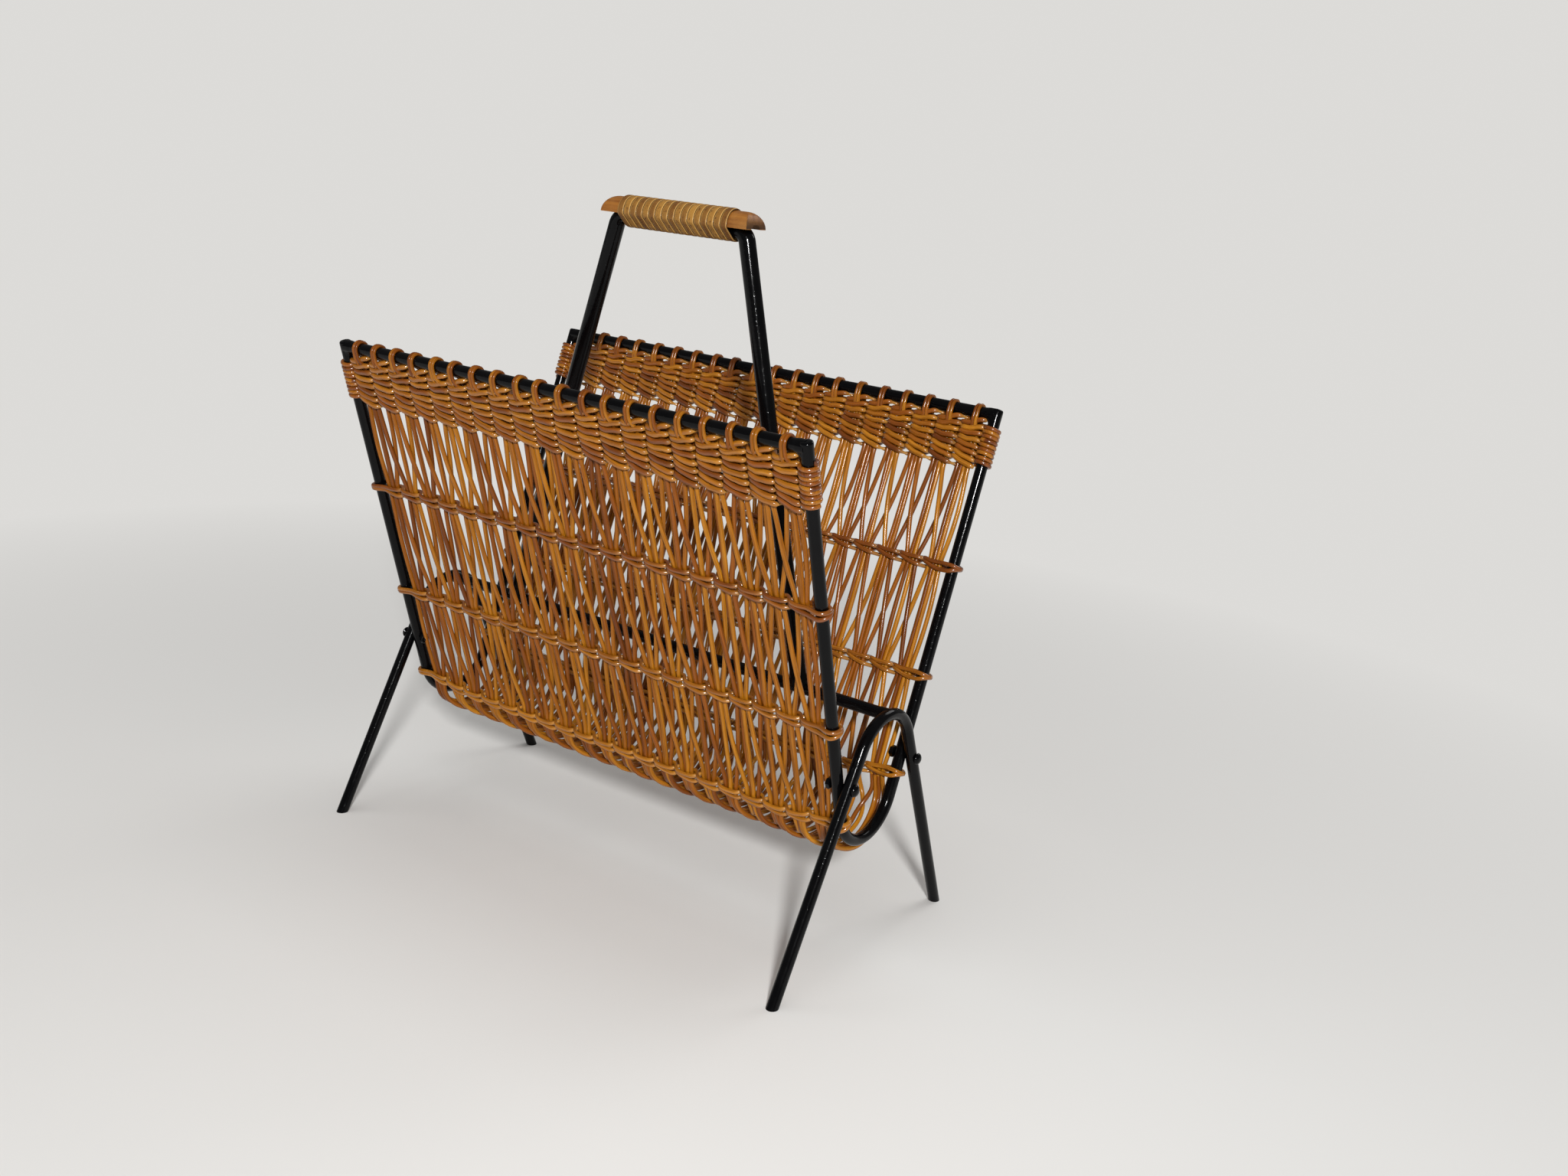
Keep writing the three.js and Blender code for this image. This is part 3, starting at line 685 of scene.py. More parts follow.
# round the bottom: shares of the way between two rows, and then lengths across
bundle, swap_run, pinch_run, pinch_lasts, pinch_fades = 0.07, 0.25, 0.05, 0.07, 0.1
swap_reach, pinch, bottom_lean = 0.64 * (pitch - 2 * abs(slots[0])), 0.0010, 0.004


def past_each_other(start, end, side, v):
    """An outer strand's way from row to row round the bottom: across and out.

    Beside a row it keeps to its bundle. Then two neighbours change places, lie side by side, and
    change back.
    """
    near = np.minimum(v, 1 - v)
    swap = eased((v - bundle) / swap_run) - eased((v + bundle + swap_run - 1) / swap_run)
    inwards = eased(near / pinch_run) - eased((near - pinch_lasts) / pinch_fades)
    way = start + (end - start) * np.clip((v - bundle) / (1 - 2 * bundle), 0, 1)
    way += side * (swap_reach * swap - pinch * inwards)
    return way, side * reed_radius * np.abs(np.sin(2 * np.pi * v))


def to_next_column(start, end, side, v):
    """An outer strand's way from row to row in the lattice: across and out."""
    rise = np.sin(np.pi * v)
    share = math.log(0.5) / math.log(0.47 + chance.uniform(-0.08, 0.08))
    way = start + (end - start) * v ** share + chance.uniform(-0.0009, 0.0009) * rise
    return way, side * reed_radius * rise ** 1.3


def nearly_straight(start, end, side, outer, v):
    """The way of an inner strand, or of an outer one at the very edge: across and out."""
    bow = side * 0.002 if outer else chance.uniform(-0.0011, 0.0011)
    return start + (end - start) * v + bow * np.sin(np.pi * v), 0 if outer else side * 0.0006


def strand_through(column, slot):
    """One strand from band to band: arrays of across, down and out."""
    across, down, out = [], [], []
    for level, (top, foot) in enumerate(zip(levels[:-1], levels[1:])):
        start = column_place(column) + slots[slot] + shifts[level, column, slot]
        under = level == len(front_rows)
        side = -1 if slot < 2 else 1
        outer = slot in (0, 3)
        crosses = outer and column != (0 if side < 0 else columns - 1)
        if crosses and not under:
            column, slot = column + side, 3 - slot
        end = column_place(column) + slots[slot] + shifts[level + 1, column, slot]
        u = np.linspace(0, 1, max(6, round((foot - top) / point_step)) + 1)[:-1]
        v = np.clip((u * (foot - top) - gather) / (foot - top - 2 * gather), 0, 1)
        if crosses and under:
            way, lift = past_each_other(start, end, side, v)
        elif crosses:
            way, lift = to_next_column(start, end, side, v)
        else:
            way, lift = nearly_straight(start, end, side, outer, v)
        rise = np.sin(np.pi * v)
        across.append(way + (bottom_lean * rise if under else 0))
        out.append(lift + chance.uniform(-0.0003, 0.0003) * rise)
        down.append(top + u * (foot - top))
    across, down, out = (np.concatenate(part) for part in (across, down, out))
    kernel = np.hanning(7)[1:-1] / np.hanning(7)[1:-1].sum()
    smooth = np.convolve(np.pad(across, 2, mode="edge"), kernel, mode="valid")
    return smooth, down, out + sag(down)


strands = {(column, slot): strand_through(column, slot)
           for column in range(columns) for slot in range(len(slots))}
print("strands", len(strands), "of", len(strands[0, 0][0]), "points")

# %% [markdown]
# Over a rail each reed makes a loop: one leg comes up outside the rail and the other inside it,
# and the two meet in the weave below. The loops lean a little, each in its own way.

# %% Loops and stakes
STAKE_LOOK = {"radius": reed_radius, "sides": 7, "unevenness": 0.25, "material": stake_finish}
loop_girth = 0.74
loop_radius = rod_radius + reed_radius * 0.5
# how far below the rail a leg starts to lean, to open round the rail, and to thin, and how long
# each takes
lean_from, lean_run = 0.024, 0.022
open_from, open_run = 0.0165, 0.0125
thin_from, thin_run = 0.014, 0.012


def leg_over_rail(x_foot, x_top, outward):
    """From the band's foot to the rail's level, on one side of it: across, down and out."""
    down = np.linspace(band_foot - 0.001, 0.0, 22)
    across = x_foot + (x_top - x_foot) * eased((lean_from - down) / lean_run)
    return across, down, outward * loop_radius * eased((open_from - down) / open_run)


def rear_view(column, slot):
    """The strand that ends in this column and slot of the rear, laid out from the rear rail."""
    ends = column_place(columns - 1 - column) + slots[3 - slot]
    for across, down, out in strands.values():
        if abs(across[-1] - ends) < abs(slots[1]) * 0.7:  # no other slot is as near
            return -across[::-1], trough_length - down[::-1], out[::-1]
    raise ValueError("no strand ends there")


def half_reed(side, column, slot, outward, top):
    """From the cut below the last row up to the rail's level: across, down and out."""
    strand = strands[column, slot] if side == "front" else rear_view(column, slot)
    cut = front_cut if side == "front" else trough_length - rear_cut
    down = strand[1]
    keep = (down > band_foot) & (down < cut)
    hanging = [np.append(part[keep], np.interp(cut, down, part)) for part in strand]
    upper = leg_over_rail(hanging[0][0], top, outward)
    return [np.concatenate([part[::-1], leg]) for part, leg in zip(hanging, upper)]


def side_reeds(side):
    """The folded reeds of one side: lines, girths, marks and shares of painted shade."""
    lines, girths, marks, shade_and_highlight = [], [], [], []
    turns = np.linspace(0, math.pi, 13)[1:-1]
    for column in range(columns):
        lean = chance.uniform(-0.0014, 0.0008)
        for sign, outer, inner in ((-1, 0, 1), (1, 3, 2)):
            top = column_place(column) + sign * loop_girth * reed_radius * 0.97 + lean
            outside = half_reed(side, column, outer, 1, top)
            inside = half_reed(side, column, inner, -1, top)
            over = [np.full(len(turns), top), -loop_radius * np.sin(turns),
                    loop_radius * np.cos(turns)]
            across, down, out = (np.concatenate([first, bend, last[::-1]])
                                 for first, bend, last in zip(outside, over, inside))
            lines.append(on_side(side, across, down, out))
            girths.append(1 - (1 - loop_girth) * eased((thin_from - down) / thin_run))
            # near the rail a loop is darkened with painted shade, and more so on the rail's inside
            inside_rail, near_rail = eased((0.0015 - out) / 0.004), eased((0.005 - down) / 0.005)
            shade_and_highlight.append((0.4 + 0.5 * inside_rail) * near_rail)
            marks.append((math.modf(chance.uniform(0, 1) + column * 0.37)[0], 0.0))
    return lines, girths, marks, shade_and_highlight


for side in ("front", "rear"):
    lines, girths, marks, shade_and_highlight = side_reeds(side)
    mesh = lines_mesh(side, lines, girths, marks=marks, shade_and_highlight=shade_and_highlight)
    piece = grown(f"{side}_stake_reeds", mesh, sweep_tree, **STAKE_LOOK)
    settle(piece, "stake_reed", f"{side}_stakes")

# %% [markdown]
# The bottom's reeds are the middle stretches of the same strands, so they meet those of the sides
# end to end.

# %% Stakes round the bottom
lines = []
for strand in strands.values():
    down = strand[1]
    keep = (down > front_cut) & (down < rear_cut)
    ends = [np.interp((front_cut, rear_cut), down, part) for part in strand]
    lines.append(round_trough(*[np.concatenate([end[:1], part[keep], end[1:]])
                                for end, part in zip(ends, strand)]))
marks = [(math.modf(number * GOLDEN)[0], 0.3) for number in range(len(lines))]
piece = grown("bottom_stake_reeds", lines_mesh("bottom", lines, marks=marks), sweep_tree,
              **STAKE_LOOK)
settle(piece, "stake_reed", "bottom_stakes")

# %% [markdown]
# Pairing is the simplest twined weave: two reeds run side by side, one in front of a group of
# stakes and one behind, and they change places in the gap before the next, where each ends in a
# short hook. The band under each rail is eight such courses. Like a fan they slant up to the right
# at the top and down at the foot. The rule is written once, as a tree that bends straight lines
# into courses.

# %% The tree of a twined band
droop = 0.0006


def twine(phase, slant, hook, sine, cosine, tanh):
    """How far out, as a share, and how far up a weaver is at a phase: arrays or sockets."""
    turned, facing = sine(phase), cosine(phase)
    up = turned * slant - turned * turned * turned * hook - facing * facing * droop
    return tanh(facing * 3.2), up


net = new_tree("Twined courses", (
    "Length", "Pitch", "Spacing", "Depth", "Top Slant", "Foot Slant", "Hook", *SWEEP_SIZES),
    ("Courses", "Steps", "Seed", *SWEEP_COUNTS))
half = net.given("Length") * 0.5
line = net.socket("GeometryNodeCurvePrimitiveLine", {"mode": "POINTS"},
                  {"Start": net.vector(half * -1.0), "End": net.vector(half)})
stepped = net.socket("GeometryNodeResampleCurve", {"mode": "COUNT"},
                     {"Curve": line, "Count": net.given("Steps")})

# two weavers to a course, each with its number and a random tone
index = net.number("GeometryNodeInputIndex")
tone = net.socket("FunctionNodeRandomValue", {"data_type": "FLOAT"},
                  {"ID": index, "Seed": net.given("Seed")}, output=1)
weavers = net.socket("GeometryNodeMeshLine", None,
                     {"Count": net.given("Courses") * 2.0, "Offset": (0.0, 0.0, 0.0)})
weavers = with_attribute(net, weavers, "weaver", index)
weavers = with_attribute(net, weavers, "strand", tone)
placed = net.socket("GeometryNodeInstanceOnPoints", None,
                    {"Points": weavers, "Instance": stepped})
laid = net.socket("GeometryNodeRealizeInstances", None, {"Geometry": placed})

# where a point is in its course's wave
weaver, own = attribute(net, "weaver"), attribute(net, "strand")
across = net.number("ShaderNodeSeparateXYZ", None, {0: net.socket("GeometryNodeInputPosition")})
course = (weaver * 0.5).math("FLOOR")
partner = weaver - course * 2.0
wobble = net.number("ShaderNodeTexNoise", {"noise_dimensions": "2D"},
                    {"Vector": net.vector(across * 60.0, weaver * 3.7), "Scale": 1.0}) - 0.5
waves = across.math("DIVIDE", net.given("Pitch")) + 0.5 + partner
phase = (waves + wobble * 0.22) * math.pi
left = 1.0 - course.math("DIVIDE", net.given("Courses") - 1.0)
foot_slant = net.given("Foot Slant")
slant = foot_slant + (net.given("Top Slant") - foot_slant) * left ** 1.6
out, up = twine(phase, slant, net.given("Hook"), lambda p: p.math("SINE"),
                lambda p: p.math("COSINE"), lambda p: p.math("TANH"))

# the weavers are bent, given painted shade where they turn in and a paler painted highlight at
# their pointed ends, and thinned towards their pointed ends
drop = (course + wobble * 0.35) * net.given("Spacing")
move = net.vector(0.0, up - drop, out * net.given("Depth") * (wobble * 0.3 + 1.0))
bent = net.socket("GeometryNodeSetPosition", None, {"Geometry": laid, "Offset": move})
hollow = 1.0 - out.math("ABSOLUTE")
turned_in = phase.math("SINE")  # -1 where a length comes up in front, 1 at its pointed end
bent = with_attribute(net, bent, "reach", across + own * 5.0)
# painted shade where a length comes up in front, and a paler painted highlight at its pointed end
bent = with_attribute(net, bent, "deep", hollow * (0.1 - turned_in * 0.9))
bent = with_attribute(net, bent, "girth", 1.0 - hollow * (0.32 + turned_in * 0.26))
swept(net, bent)
twined_tree = net.tree
print("twined tree", len(twined_tree.nodes), "nodes")

# %% [markdown]
# The tree makes a flat band. Three moves stand it on its side of the trough: a turn to the arm's
# lean, a shift to the first course, and for the rear a half turn. The courses are spread evenly
# between the first and the last, and in the rear they lie a little closer.

# %% The woven bands
weaver_radius, weave_depth = 0.00185, 0.0029
band_courses, first_course, last_courses = 8, 0.0066, {"front": 0.0373, "rear": 0.0345}
band_length = 2 * (half_hoop - rod_radius - 0.0012)


def stand_on_side(piece, side, down):
    """Moves a piece from its flat place onto a side: its Y runs up the arm, its Z outwards."""
    spot = on_side("front", 0.0, down, 0.0)
    turn = Matrix.Rotation(math.pi / 2 + trough_lean, 4, "X")
    half_turn = Matrix.Rotation(0.0 if side == "front" else math.pi, 4, "Z")
    piece.data.transform(half_turn @ Matrix.Translation(Vector(spot)) @ turn)


for side, seed in (("front", 3), ("rear", 8)):
    spacing = (last_courses[side] - first_course) / (band_courses - 1)
    piece = grown(f"{side}_band_weave", bpy.data.meshes.new("empty"), twined_tree,
                  length=band_length, pitch=pitch, courses=band_courses, spacing=spacing,
                  depth=weave_depth, top_slant=0.0027, foot_slant=-0.0015, hook=0.001, steps=420,
                  seed=seed, radius=weaver_radius, sides=8, unevenness=0.2, material=band_finish)
    stand_on_side(piece, side, first_course)
    settle(piece, "band_reed", f"{side}_band")
    print("band courses", band_courses, "every", round(spacing * 1000, 2), "mm")

# %% [markdown]
# Each row is the same twining, two courses high. Its two reeds go round the arms at both ends and
# come back as the other course, so each of them is one closed ring. The ring is laid out flat by
# the same rule, and then bent onto the side.

# %% Pairing rows
row_radius, row_spacing, row_slants, row_hook = 0.0015, 0.0034, (0.0002, -0.0013), 0.0006
arm_reach = rod_radius + row_radius
row_end = column_place(columns - 1) + 0.31 * pitch
hung_half = 0.14  # up to here a low row hangs with the reeds, and past it comes back to the arm
last_climb = 0.005  # and the last row rises this much to the arms


def row_ring(partner):
    """One reed of a row, all the way round: columns of across, up, out and hollow.

    Hollow is a share of painted shade above 0 and of painted highlight below 0.
    """
    x = np.linspace(-row_end, row_end, 330)
    parts = []
    for course in (0, 1):
        # the reed that was behind comes back in front, so the lower course has the other phase
        phase = math.pi * (x / pitch + 0.5 + partner + course)
        out, up = twine(phase, row_slants[course], row_hook, np.sin, np.cos, np.tanh)
        # painted shade where a length turns in, and a paler painted highlight at its pointed end
        hollow = (1 - np.abs(out)) * (0.2 - 0.8 * np.sin(phase))
        level = row_spacing * (0.5 - course)
        part = np.stack([x, level + up, weave_depth * out, hollow], axis=1)
        parts.append(part[::-1] if course == 1 else part)
    ring = []
    angles = np.linspace(0, math.pi, 15)
    for part, following, side in ((parts[0], parts[1], 1), (parts[1], parts[0], -1)):
        start = math.copysign(1, part[-1][2])
        bias = 1.7 if start > 0 else 0.6
        ups = part[-1][1] + (following[0][1] - part[-1][1]) * (angles / math.pi) ** bias
        turn = np.stack([side * (half_hoop + arm_reach * np.sin(angles)), ups,
                         start * arm_reach * np.cos(angles), 0 * angles], axis=1)
        ring += [part, turn]
    return np.concatenate(ring)


def smoothed(ring, rounds=2):
    """A closed ring with its corners rounded."""
    for _ in range(rounds):
        ring = 0.5 * ring + 0.25 * (np.roll(ring, 1, axis=0) + np.roll(ring, -1, axis=0))
    return ring


for side, rows in (("front", front_rows), ("rear", rear_rows)):
    for number, place in enumerate(rows, 1):
        lines, girths, shade_and_highlight = [], [], []
        climb = last_climb if number == len(rows) else 0.0
        sagging = sag(place if side == "front" else trough_length - place)
        for partner in (0, 1):
            x, up, out, hollow = smoothed(finer(row_ring(partner), 0.004)).T
            aside = eased((np.abs(x) - hung_half) / (half_hoop - hung_half))
            lines.append(on_side(side, x, place - up - climb * aside, out + sagging * (1 - aside)))
            girths.append(1 - 0.3 * np.abs(hollow))
            shade_and_highlight.append(hollow)
        marks = [(chance.uniform(0.1 + 0.25 * number, 0.4 + 0.2 * number), 0.0) for _ in lines]
        mesh = lines_mesh("row", lines, girths, closed=True, marks=marks, shade_and_highlight=shade_and_highlight)
        piece = grown(f"{side}_row_{number}_reeds", mesh, sweep_tree, radius=row_radius, sides=8,
                      unevenness=0.2, material=row_finish)
        settle(piece, "row_reed", f"{side}_row_{number}")

# %% [markdown]
# At each corner the band's reeds are wound round the arm. A spiral from Geometry Nodes does this:
# it only needs its turns, its radius and its height. Each turn gets a tone of its own.

# %% Corner wraps
wrap_turns, wrap_pitch, wrap_top, wrap_girth = 9, 0.0029, 0.009, 0.00145

net = new_tree("Wrap", ("Turns", "Wrap Radius", "Height", "Drift", *SWEEP_SIZES), SWEEP_COUNTS)
spiral = net.socket("GeometryNodeCurveSpiral", None, {
    "Resolution": 28, "Rotations": net.given("Turns"), "Height": net.given("Height"),
    "Start Radius": net.given("Wrap Radius"), "End Radius": net.given("Wrap Radius")})
factor = net.add("GeometryNodeSplineParameter")
turn = Number(net, factor.outputs["Factor"]) * net.given("Turns")
drift = net.number("ShaderNodeTexNoise", {"noise_dimensions": "1D"},
                   {"W": turn * 0.9, "Scale": 1.0})
wound = net.socket("GeometryNodeSetPosition", None, {
    "Geometry": spiral, "Offset": net.vector(0.0, 0.0, (drift - 0.5) * net.given("Drift"))})
for label, value in (("strand", (turn * 0.618).math("FRACT")), ("reach", factor.outputs["Length"]),
                     ("girth", 1.0), ("deep", 0.0)):
    wound = with_attribute(net, wound, label, value)
swept(net, wound)
wrap_tree = net.tree

for side, sign in (("front", 1), ("rear", -1)):
    for end, outward in (("left", -1), ("right", 1)):
        piece = grown(f"corner_wrap_{side}_{end}_reed", bpy.data.meshes.new("empty"), wrap_tree,
                      turns=wrap_turns, wrap_radius=rod_radius + 0.65 * wrap_girth,
                      height=wrap_turns * wrap_pitch, drift=0.002, radius=wrap_girth, sides=9,
                      unevenness=0.25, material=band_finish)
        upright = Matrix.Rotation(math.pi / 2, 4, "X")
        piece.data.transform(Matrix.Translation((sign * outward * half_hoop, 0, 0)) @ upright)
        stand_on_side(piece, side, wrap_top)
        settle(piece, "band_reed", f"corner_wrap_{side}_{end}")

# %% [markdown]
# The grip is a half round of cane that straddles the handle. Its grain runs lengthwise, and its
# ends are cut round and stained dark.

# %% Finish of the saddle
saddle_finish, net, shader = finish("saddle_cane_finish")
place = object_place(net)
drawn_out = net.socket("ShaderNodeMapping", None, {"Vector": place, "Scale": (9.0, 160.0, 160.0)})
grain, cloud = noise(net, drawn_out, 2.2, 6.0, 0.6), noise(net, place, 70.0, 3.0)
end_grain = stored(net, "cut")
colour = mix(net, grain.above(0.3, 0.7), (0.33, 0.130, 0.022), (0.16, 0.052, 0.009))
colour = mix(net, cloud.above(0.5, 0.75) * 0.4, colour, (0.36, 0.18, 0.05))
colour = mix(net, end_grain * 0.9, colour, (0.020, 0.011, 0.007))
net.feed(shader, {
    "Base Color": colour, "Roughness": grain * 0.2 + 0.34 + end_grain * 0.3,
    "Coat Weight": 0.25 - end_grain * 0.25, "Coat Roughness": 0.2, "Specular IOR Level": 0.2,
    "Normal": bumped(net, grain, 0.3, 0.0004)})
print("saddle finish", saddle_finish.name)

# %% [markdown]
# The saddle's section is a half round with a groove for the rod. Rings of that section are set
# along the grip, closer together at the two noses, where the top comes down in a quarter round.

# %% Grip saddle
saddle_radius, saddle_rise, nose = 0.0105, 0.0021, 0.008
half_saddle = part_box("grip_saddle")[1].x
groove_radius = handle_radius + 0.0003
groove_start = math.asin(saddle_rise / groove_radius)
around = [(saddle_radius * math.cos(a), saddle_rise + saddle_radius * math.sin(a))
          for a in np.linspace(0, math.pi, 41)]
around += [(groove_radius * math.cos(a), groove_radius * math.sin(a))
           for a in np.linspace(math.pi - groove_start, groove_start, 15)]
on_nose = [half_saddle - nose * (1 - math.cos(a)) for a in np.linspace(0.06, math.pi / 2, 15)]
stations = sorted({round(x, 7) for x in [*on_nose, *np.linspace(0, half_saddle - nose, 12)]})
stations = [-x for x in stations[:0:-1]] + stations

mesh = bmesh.new()
cut_layer = mesh.verts.layers.float.new("cut")
rings = []
for x in stations:
    over = max(0.0, abs(x) - (half_saddle - nose)) / nose
    ceiling = saddle_rise + saddle_radius * math.sqrt(max(0.0, 1 - over * over))
    ring = []
    for y, z in around:
        vertex = mesh.verts.new((x, y, handle_height + min(z, ceiling)))
        vertex[cut_layer] = over ** 3 if z > ceiling - 0.0003 else 0.0
        ring.append(vertex)
    rings.append(ring)
for a, b in zip(rings[:-1], rings[1:]):
    for i in range(len(around)):
        j = (i + 1) % len(around)
        mesh.faces.new((a[i], a[j], b[j], b[i]))
mesh.faces.new(rings[0])
mesh.faces.new(rings[-1][::-1])
bmesh.ops.recalc_face_normals(mesh, faces=mesh.faces)
saddle_mesh = bpy.data.meshes.new("grip_saddle_cane")
mesh.to_mesh(saddle_mesh)
mesh.free()
saddle_mesh.materials.append(saddle_finish)
for polygon in saddle_mesh.polygons:
    polygon.use_smooth = True
saddle_mesh.set_sharp_from_angle(angle=math.radians(38))
saddle = bpy.data.objects.new("grip_saddle_cane", saddle_mesh)
bpy.context.scene.collection.objects.link(saddle)
settle(saddle, "saddle_cane", "grip_saddle")

# %% [markdown]
# Flat cane is wound round saddle and rod, turn beside turn. It is the skin of the palm, split
# thin, with fibres and speckles along it. It is pale near its edges, and its very edges, where two
# turns meet, get painted shade.

# %% Finish of the binding
binding_finish, net, shader = finish("binding_cane_finish")
own, reach = stored(net, "strand"), stored(net, "reach")
section = {0: stored(net, "section", "Vector")}
across = net.number("ShaderNodeSeparateXYZ", None, section, output=1)
edge = across.math("ABSOLUTE")
fibre = noise(net, net.vector(reach * 55.0, across * 7.0, own * 40.0), 1.0, 6.0, 0.65)
place = object_place(net)
speckle, patch = noise(net, place, 420.0, 4.0, 0.7), noise(net, place, 90.0)
tone = (own * 0.9 + (patch - 0.5) * 0.8).clamp()
colour = mix(net, tone, (0.15, 0.060, 0.011), (0.38, 0.190, 0.036))
colour = mix(net, fibre.above(0.42, 0.68) * 0.6, colour, (0.11, 0.042, 0.009))
colour = mix(net, speckle.above(0.56, 0.66) * 0.8, colour, (0.065, 0.024, 0.008))
colour = mix(net, edge.above(0.62, 0.8) * 0.6, colour, (0.55, 0.32, 0.09))
# painted shade at the very edges, where two turns meet
colour = mix(net, edge.above(0.88, 0.98), colour, (0.03, 0.012, 0.004))
net.feed(shader, {
    "Base Color": colour, "Roughness": fibre * 0.2 + 0.42, "Specular IOR Level": 0.25,
    "Coat Weight": 0.12, "Coat Roughness": 0.2,
    "Normal": bumped(net, fibre * 0.7 + speckle * 0.3, 0.5, 0.0003)})
print("binding finish", binding_finish.name)

# %% [markdown]
# The strip keeps its flat side to what it wraps, over the round top and under the rod. So its
# sweep has a flat section with rounded edges, and is told at every point which way is out.

# %% The tree of a flat winding
net = new_tree("Flat winding", ("Width", "Thickness"))
line = net.socket("GeometryNodeMeshToCurve", None, {"Mesh": net.given("Geometry")})
line = net.socket("GeometryNodeSetCurveNormal", {"mode": "FREE"},
                  {"Curve": line, "Normal": attribute(net, "outward", "FLOAT_VECTOR")})
circle = net.socket("GeometryNodeCurvePrimitiveCircle", {"mode": "RADIUS"},
                    {"Resolution": 16, "Radius": 1.0})
spot = net.add("ShaderNodeSeparateXYZ", None, {0: net.socket("GeometryNodeInputPosition")})
thin, wide = (Number(net, output) for output in spot.outputs[:2])
squarer = wide.math("SIGN") * wide.math("ABSOLUTE") ** 0.7
section = with_attribute(net, circle, "section", net.vector(thin, squarer), "FLOAT_VECTOR")
sized = net.vector(thin * net.given("Thickness") * 0.5, squarer * net.given("Width") * 0.5)
section = net.socket("GeometryNodeSetPosition", None, {"Geometry": section, "Position": sized})
close_tree(net, net.socket("GeometryNodeCurveToMesh", None, {
    "Curve": line, "Profile Curve": section, "Scale": attribute(net, "girth"),
    "Fill Caps": True}))
flat_tree = net.tree
print("flat winding tree", len(flat_tree.nodes), "nodes")

# %% [markdown]
# One turn is an outline round the saddle's top, down its sides and under the rod. The whole
# winding follows it again and again while it moves along the grip.

# %% Grip binding
cane_thickness, cane_width, cane_turns, cane_pitch = 0.0013, 0.0051, 17, 0.0053
lift = cane_thickness / 2 + 0.0002
over_radius, under_radius = saddle_radius + lift, handle_radius + lift
tangent = math.atan2(saddle_rise, over_radius)
tangent -= math.acos(under_radius / math.hypot(saddle_rise, over_radius))
over = [(over_radius * math.cos(a), saddle_rise + over_radius * math.sin(a))
        for a in np.linspace(0, math.pi, 22)]
under = [(under_radius * math.cos(a), under_radius * math.sin(a))
         for a in np.linspace(-math.pi - tangent, tangent, 12)]
outline = smoothed(finer(np.array(over + under + over[:1]), 0.0015)[:-1], 1)
steps = np.linalg.norm(np.roll(outline, -1, axis=0) - outline, axis=1)
way = np.roll(outline, -1, axis=0) - np.roll(outline, 1, axis=0)
out_way = np.stack([way[:, 1], -way[:, 0]], axis=1)
out_way /= np.linalg.norm(out_way, axis=1)[:, None]

count = cane_turns * len(outline) + 1
which = np.arange(count) % len(outline)
wound = np.concatenate([[0], np.cumsum(steps[which[:-1]])]) / steps.sum()  # in turns
line = np.stack([cane_pitch * (wound - cane_turns / 2), outline[which, 0],
                 handle_height + outline[which, 1]], axis=1)
mesh = lines_mesh("binding", [line], marks=[(0.5, 0.0)])
tones = np.modf(np.floor(wound) * 0.618 + 0.2)[0]
mesh.attributes["strand"].data.foreach_set("value", tones.astype(np.float32))
outward = mesh.attributes.new("outward", "FLOAT_VECTOR", "POINT")
outward.data.foreach_set("vector", in_plane(0.0, out_way[which]).astype(np.float32).ravel())
binding = grown("grip_binding_cane", mesh, flat_tree, width=cane_width, thickness=cane_thickness,
                material=binding_finish)
settle(binding, "binding_cane", "grip_binding")

# %% [markdown]
# The studio is a pale floor that fades into a pale world, so no edge shows behind the basket, and
# it keeps the basket's shadow.

# %% Floor
PALE = (0.72, 0.71, 0.69, 1)
floor_mesh = bpy.data.meshes.new("floor")
corners = [(-30, -30, 0), (30, -30, 0), (30, 30, 0), (-30, 30, 0)]
floor_mesh.from_pydata(corners, [], [(0, 1, 2, 3)])
floor = bpy.data.objects.new("floor", floor_mesh)
bpy.context.scene.collection.objects.link(floor)
floor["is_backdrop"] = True
floor_finish, net, shader = finish("floor_finish")
net.feed(shader, {"Base Color": PALE, "Roughness": 0.8, "Specular IOR Level": 0.2})
distance = net.number("ShaderNodeVectorMath", {"operation": "LENGTH"}, {0: object_place(net)},
                      output="Value")
glow = net.socket("ShaderNodeEmission", None, {"Color": PALE, "Strength": 1.0})
blend = net.socket("ShaderNodeMixShader", None, {
    0: distance.above(0.4, 1.1), 1: shader.outputs[0], 2: glow})
output = next(node for node in net.tree.nodes if node.type == "OUTPUT_MATERIAL")
net.feed(output, {"Surface": blend})
floor_mesh.materials.append(floor_finish)
print("floor", floor_finish.name)

# %% [markdown]
# Only rays from the camera and through glass see the pale world at full strength, and mirrored
# rays see a little of it. Three wide lamps light the basket at a plain level, and a small one near
# the camera gives the varnish and the paint their sharp highlights. The two widest aren't mirrored
# in them, or they'd lay a haze over the colours.

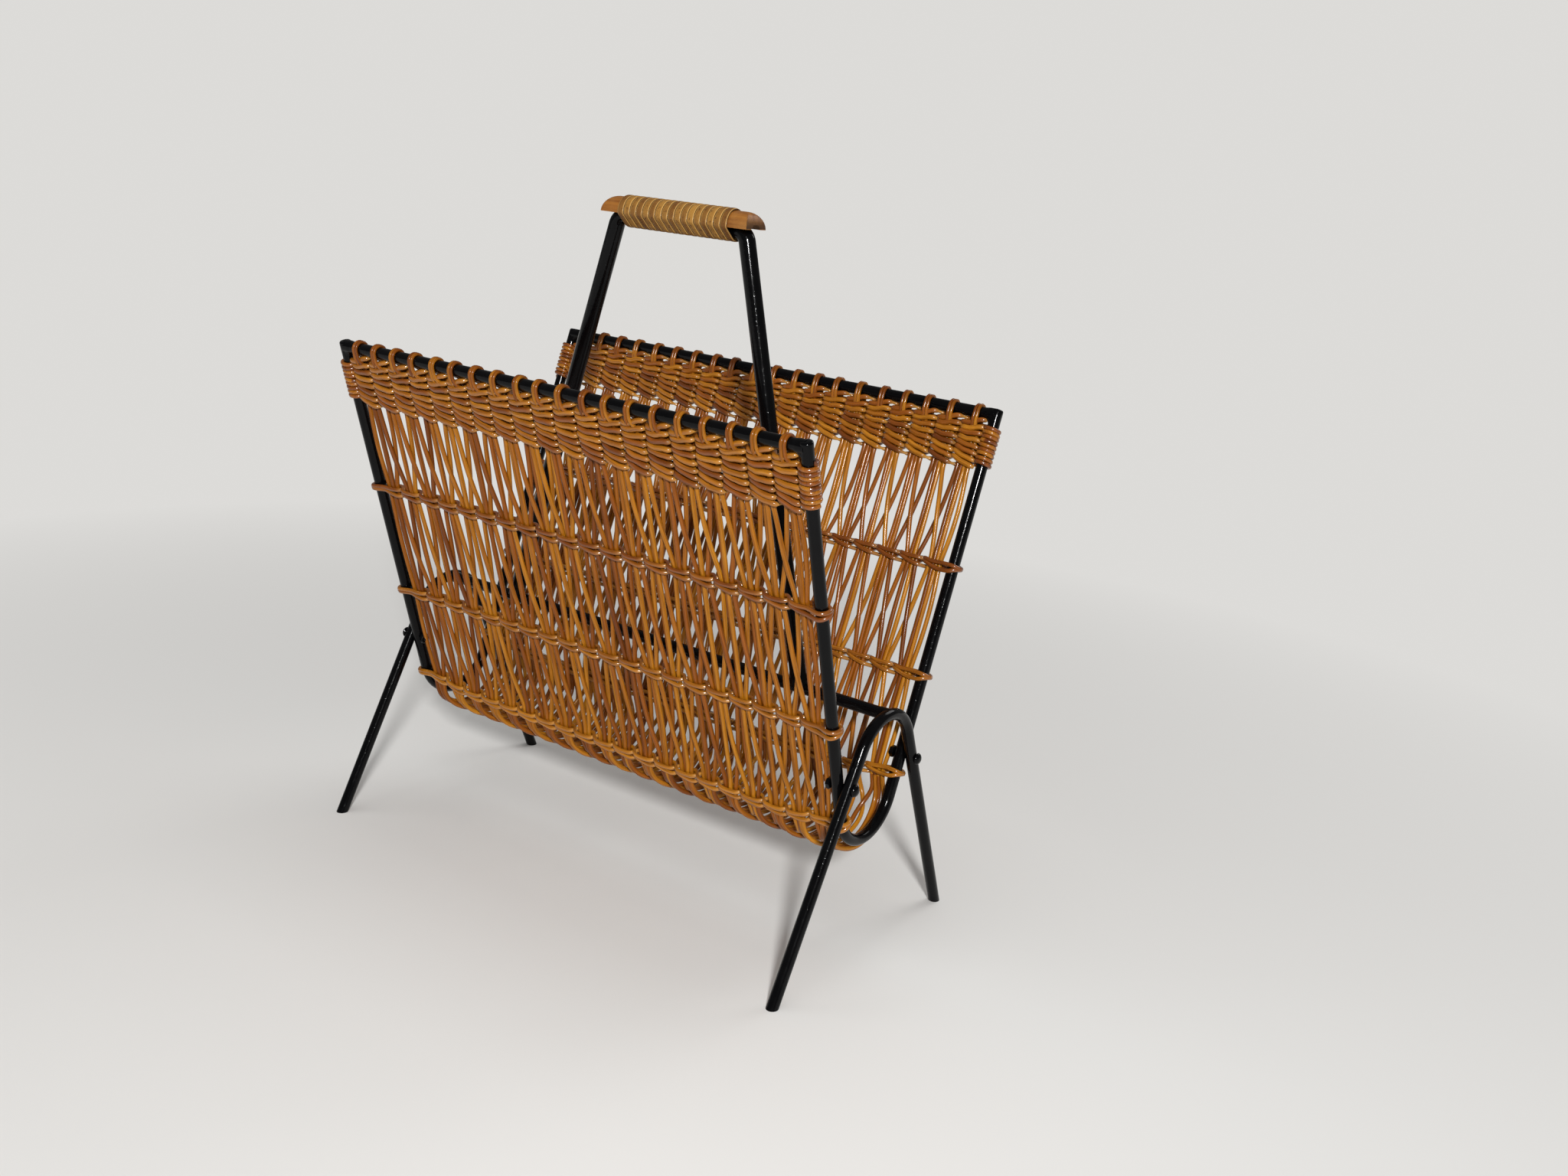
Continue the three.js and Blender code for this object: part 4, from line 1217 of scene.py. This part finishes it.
# %% World and lamps
world = bpy.data.worlds.new("studio")
bpy.context.scene.world = world
world.use_nodes = True
net = Net(world.node_tree)
net.tree.nodes.clear()
rays = net.add("ShaderNodeLightPath").outputs
seen = Number(net, rays["Is Camera Ray"]) + Number(net, rays["Is Glossy Ray"]) * 0.06
seen = (seen + Number(net, rays["Is Transmission Ray"])).clamp()
dim = net.socket("ShaderNodeBackground", None, {"Color": (1.0, 0.99, 0.97, 1), "Strength": 0.13})
bright = net.socket("ShaderNodeBackground", None, {"Color": PALE, "Strength": 1.0})
both = net.socket("ShaderNodeMixShader", None, {0: seen, 1: dim, 2: bright})
net.add("ShaderNodeOutputWorld", None, {0: both})

BASKET_MIDDLE = Vector((0, 0, 0.22))


def lamp(name, place, size, power, mirrored):
    """A round lamp that looks at the basket's middle."""
    data = bpy.data.lights.new(name, "AREA")
    data.shape, data.size, data.energy = "DISK", size, power
    light = bpy.data.objects.new(name, data)
    light.location = place
    light.visible_glossy = mirrored
    light.rotation_euler = (BASKET_MIDDLE - Vector(place)).to_track_quat("-Z", "Y").to_euler()
    bpy.context.scene.collection.objects.link(light)


lamp("key", (1.56, -1.86, 1.3), 0.26, 74.0, True)
lamp("top", (0.0, 0.0, 2.6), 1.8, 19.0, False)
lamp("fill", (-1.6, -1.2, 1.2), 1.2, 5.0, False)
lamp("back", (0.5, 1.6, 1.5), 1.0, 7.0, True)

# %% [markdown]
# The camera stands where the photographer stood: in front and to the right, a little above the
# rails, and rolled by a few degrees. Its place was found by fitting the frame's lines to the
# photo's.

# %% Camera
azimuth, elevation, roll = math.radians(33.205), math.radians(15.517), math.radians(5.778)
sensor, focal_pixels, image_width = 36.0, 2015.6, 2048
camera_data = bpy.data.cameras.new("camera")
camera_data.sensor_width = sensor
camera_data.lens = sensor * focal_pixels / image_width
camera = bpy.data.objects.new("camera", camera_data)
look = Vector((-math.sin(azimuth) * math.cos(elevation), math.cos(azimuth) * math.cos(elevation),
               -math.sin(elevation)))
level_right = Vector((math.cos(azimuth), math.sin(azimuth), 0))
level_up = level_right.cross(look)
right = level_right * math.cos(roll) + level_up * math.sin(roll)
up = level_up * math.cos(roll) - level_right * math.sin(roll)
camera.matrix_world = Matrix((right, up, -look)).transposed().to_4x4()
camera.location = (0.63777, -0.80944, 0.49637)
bpy.context.scene.collection.objects.link(camera)
bpy.context.scene.camera = camera
bpy.context.scene.view_settings.view_transform = "Standard"
print("lens", round(camera_data.lens, 2))

# %% Overall size
low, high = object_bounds()
print("visual", [round(v, 4) for v in (*low, *high)])
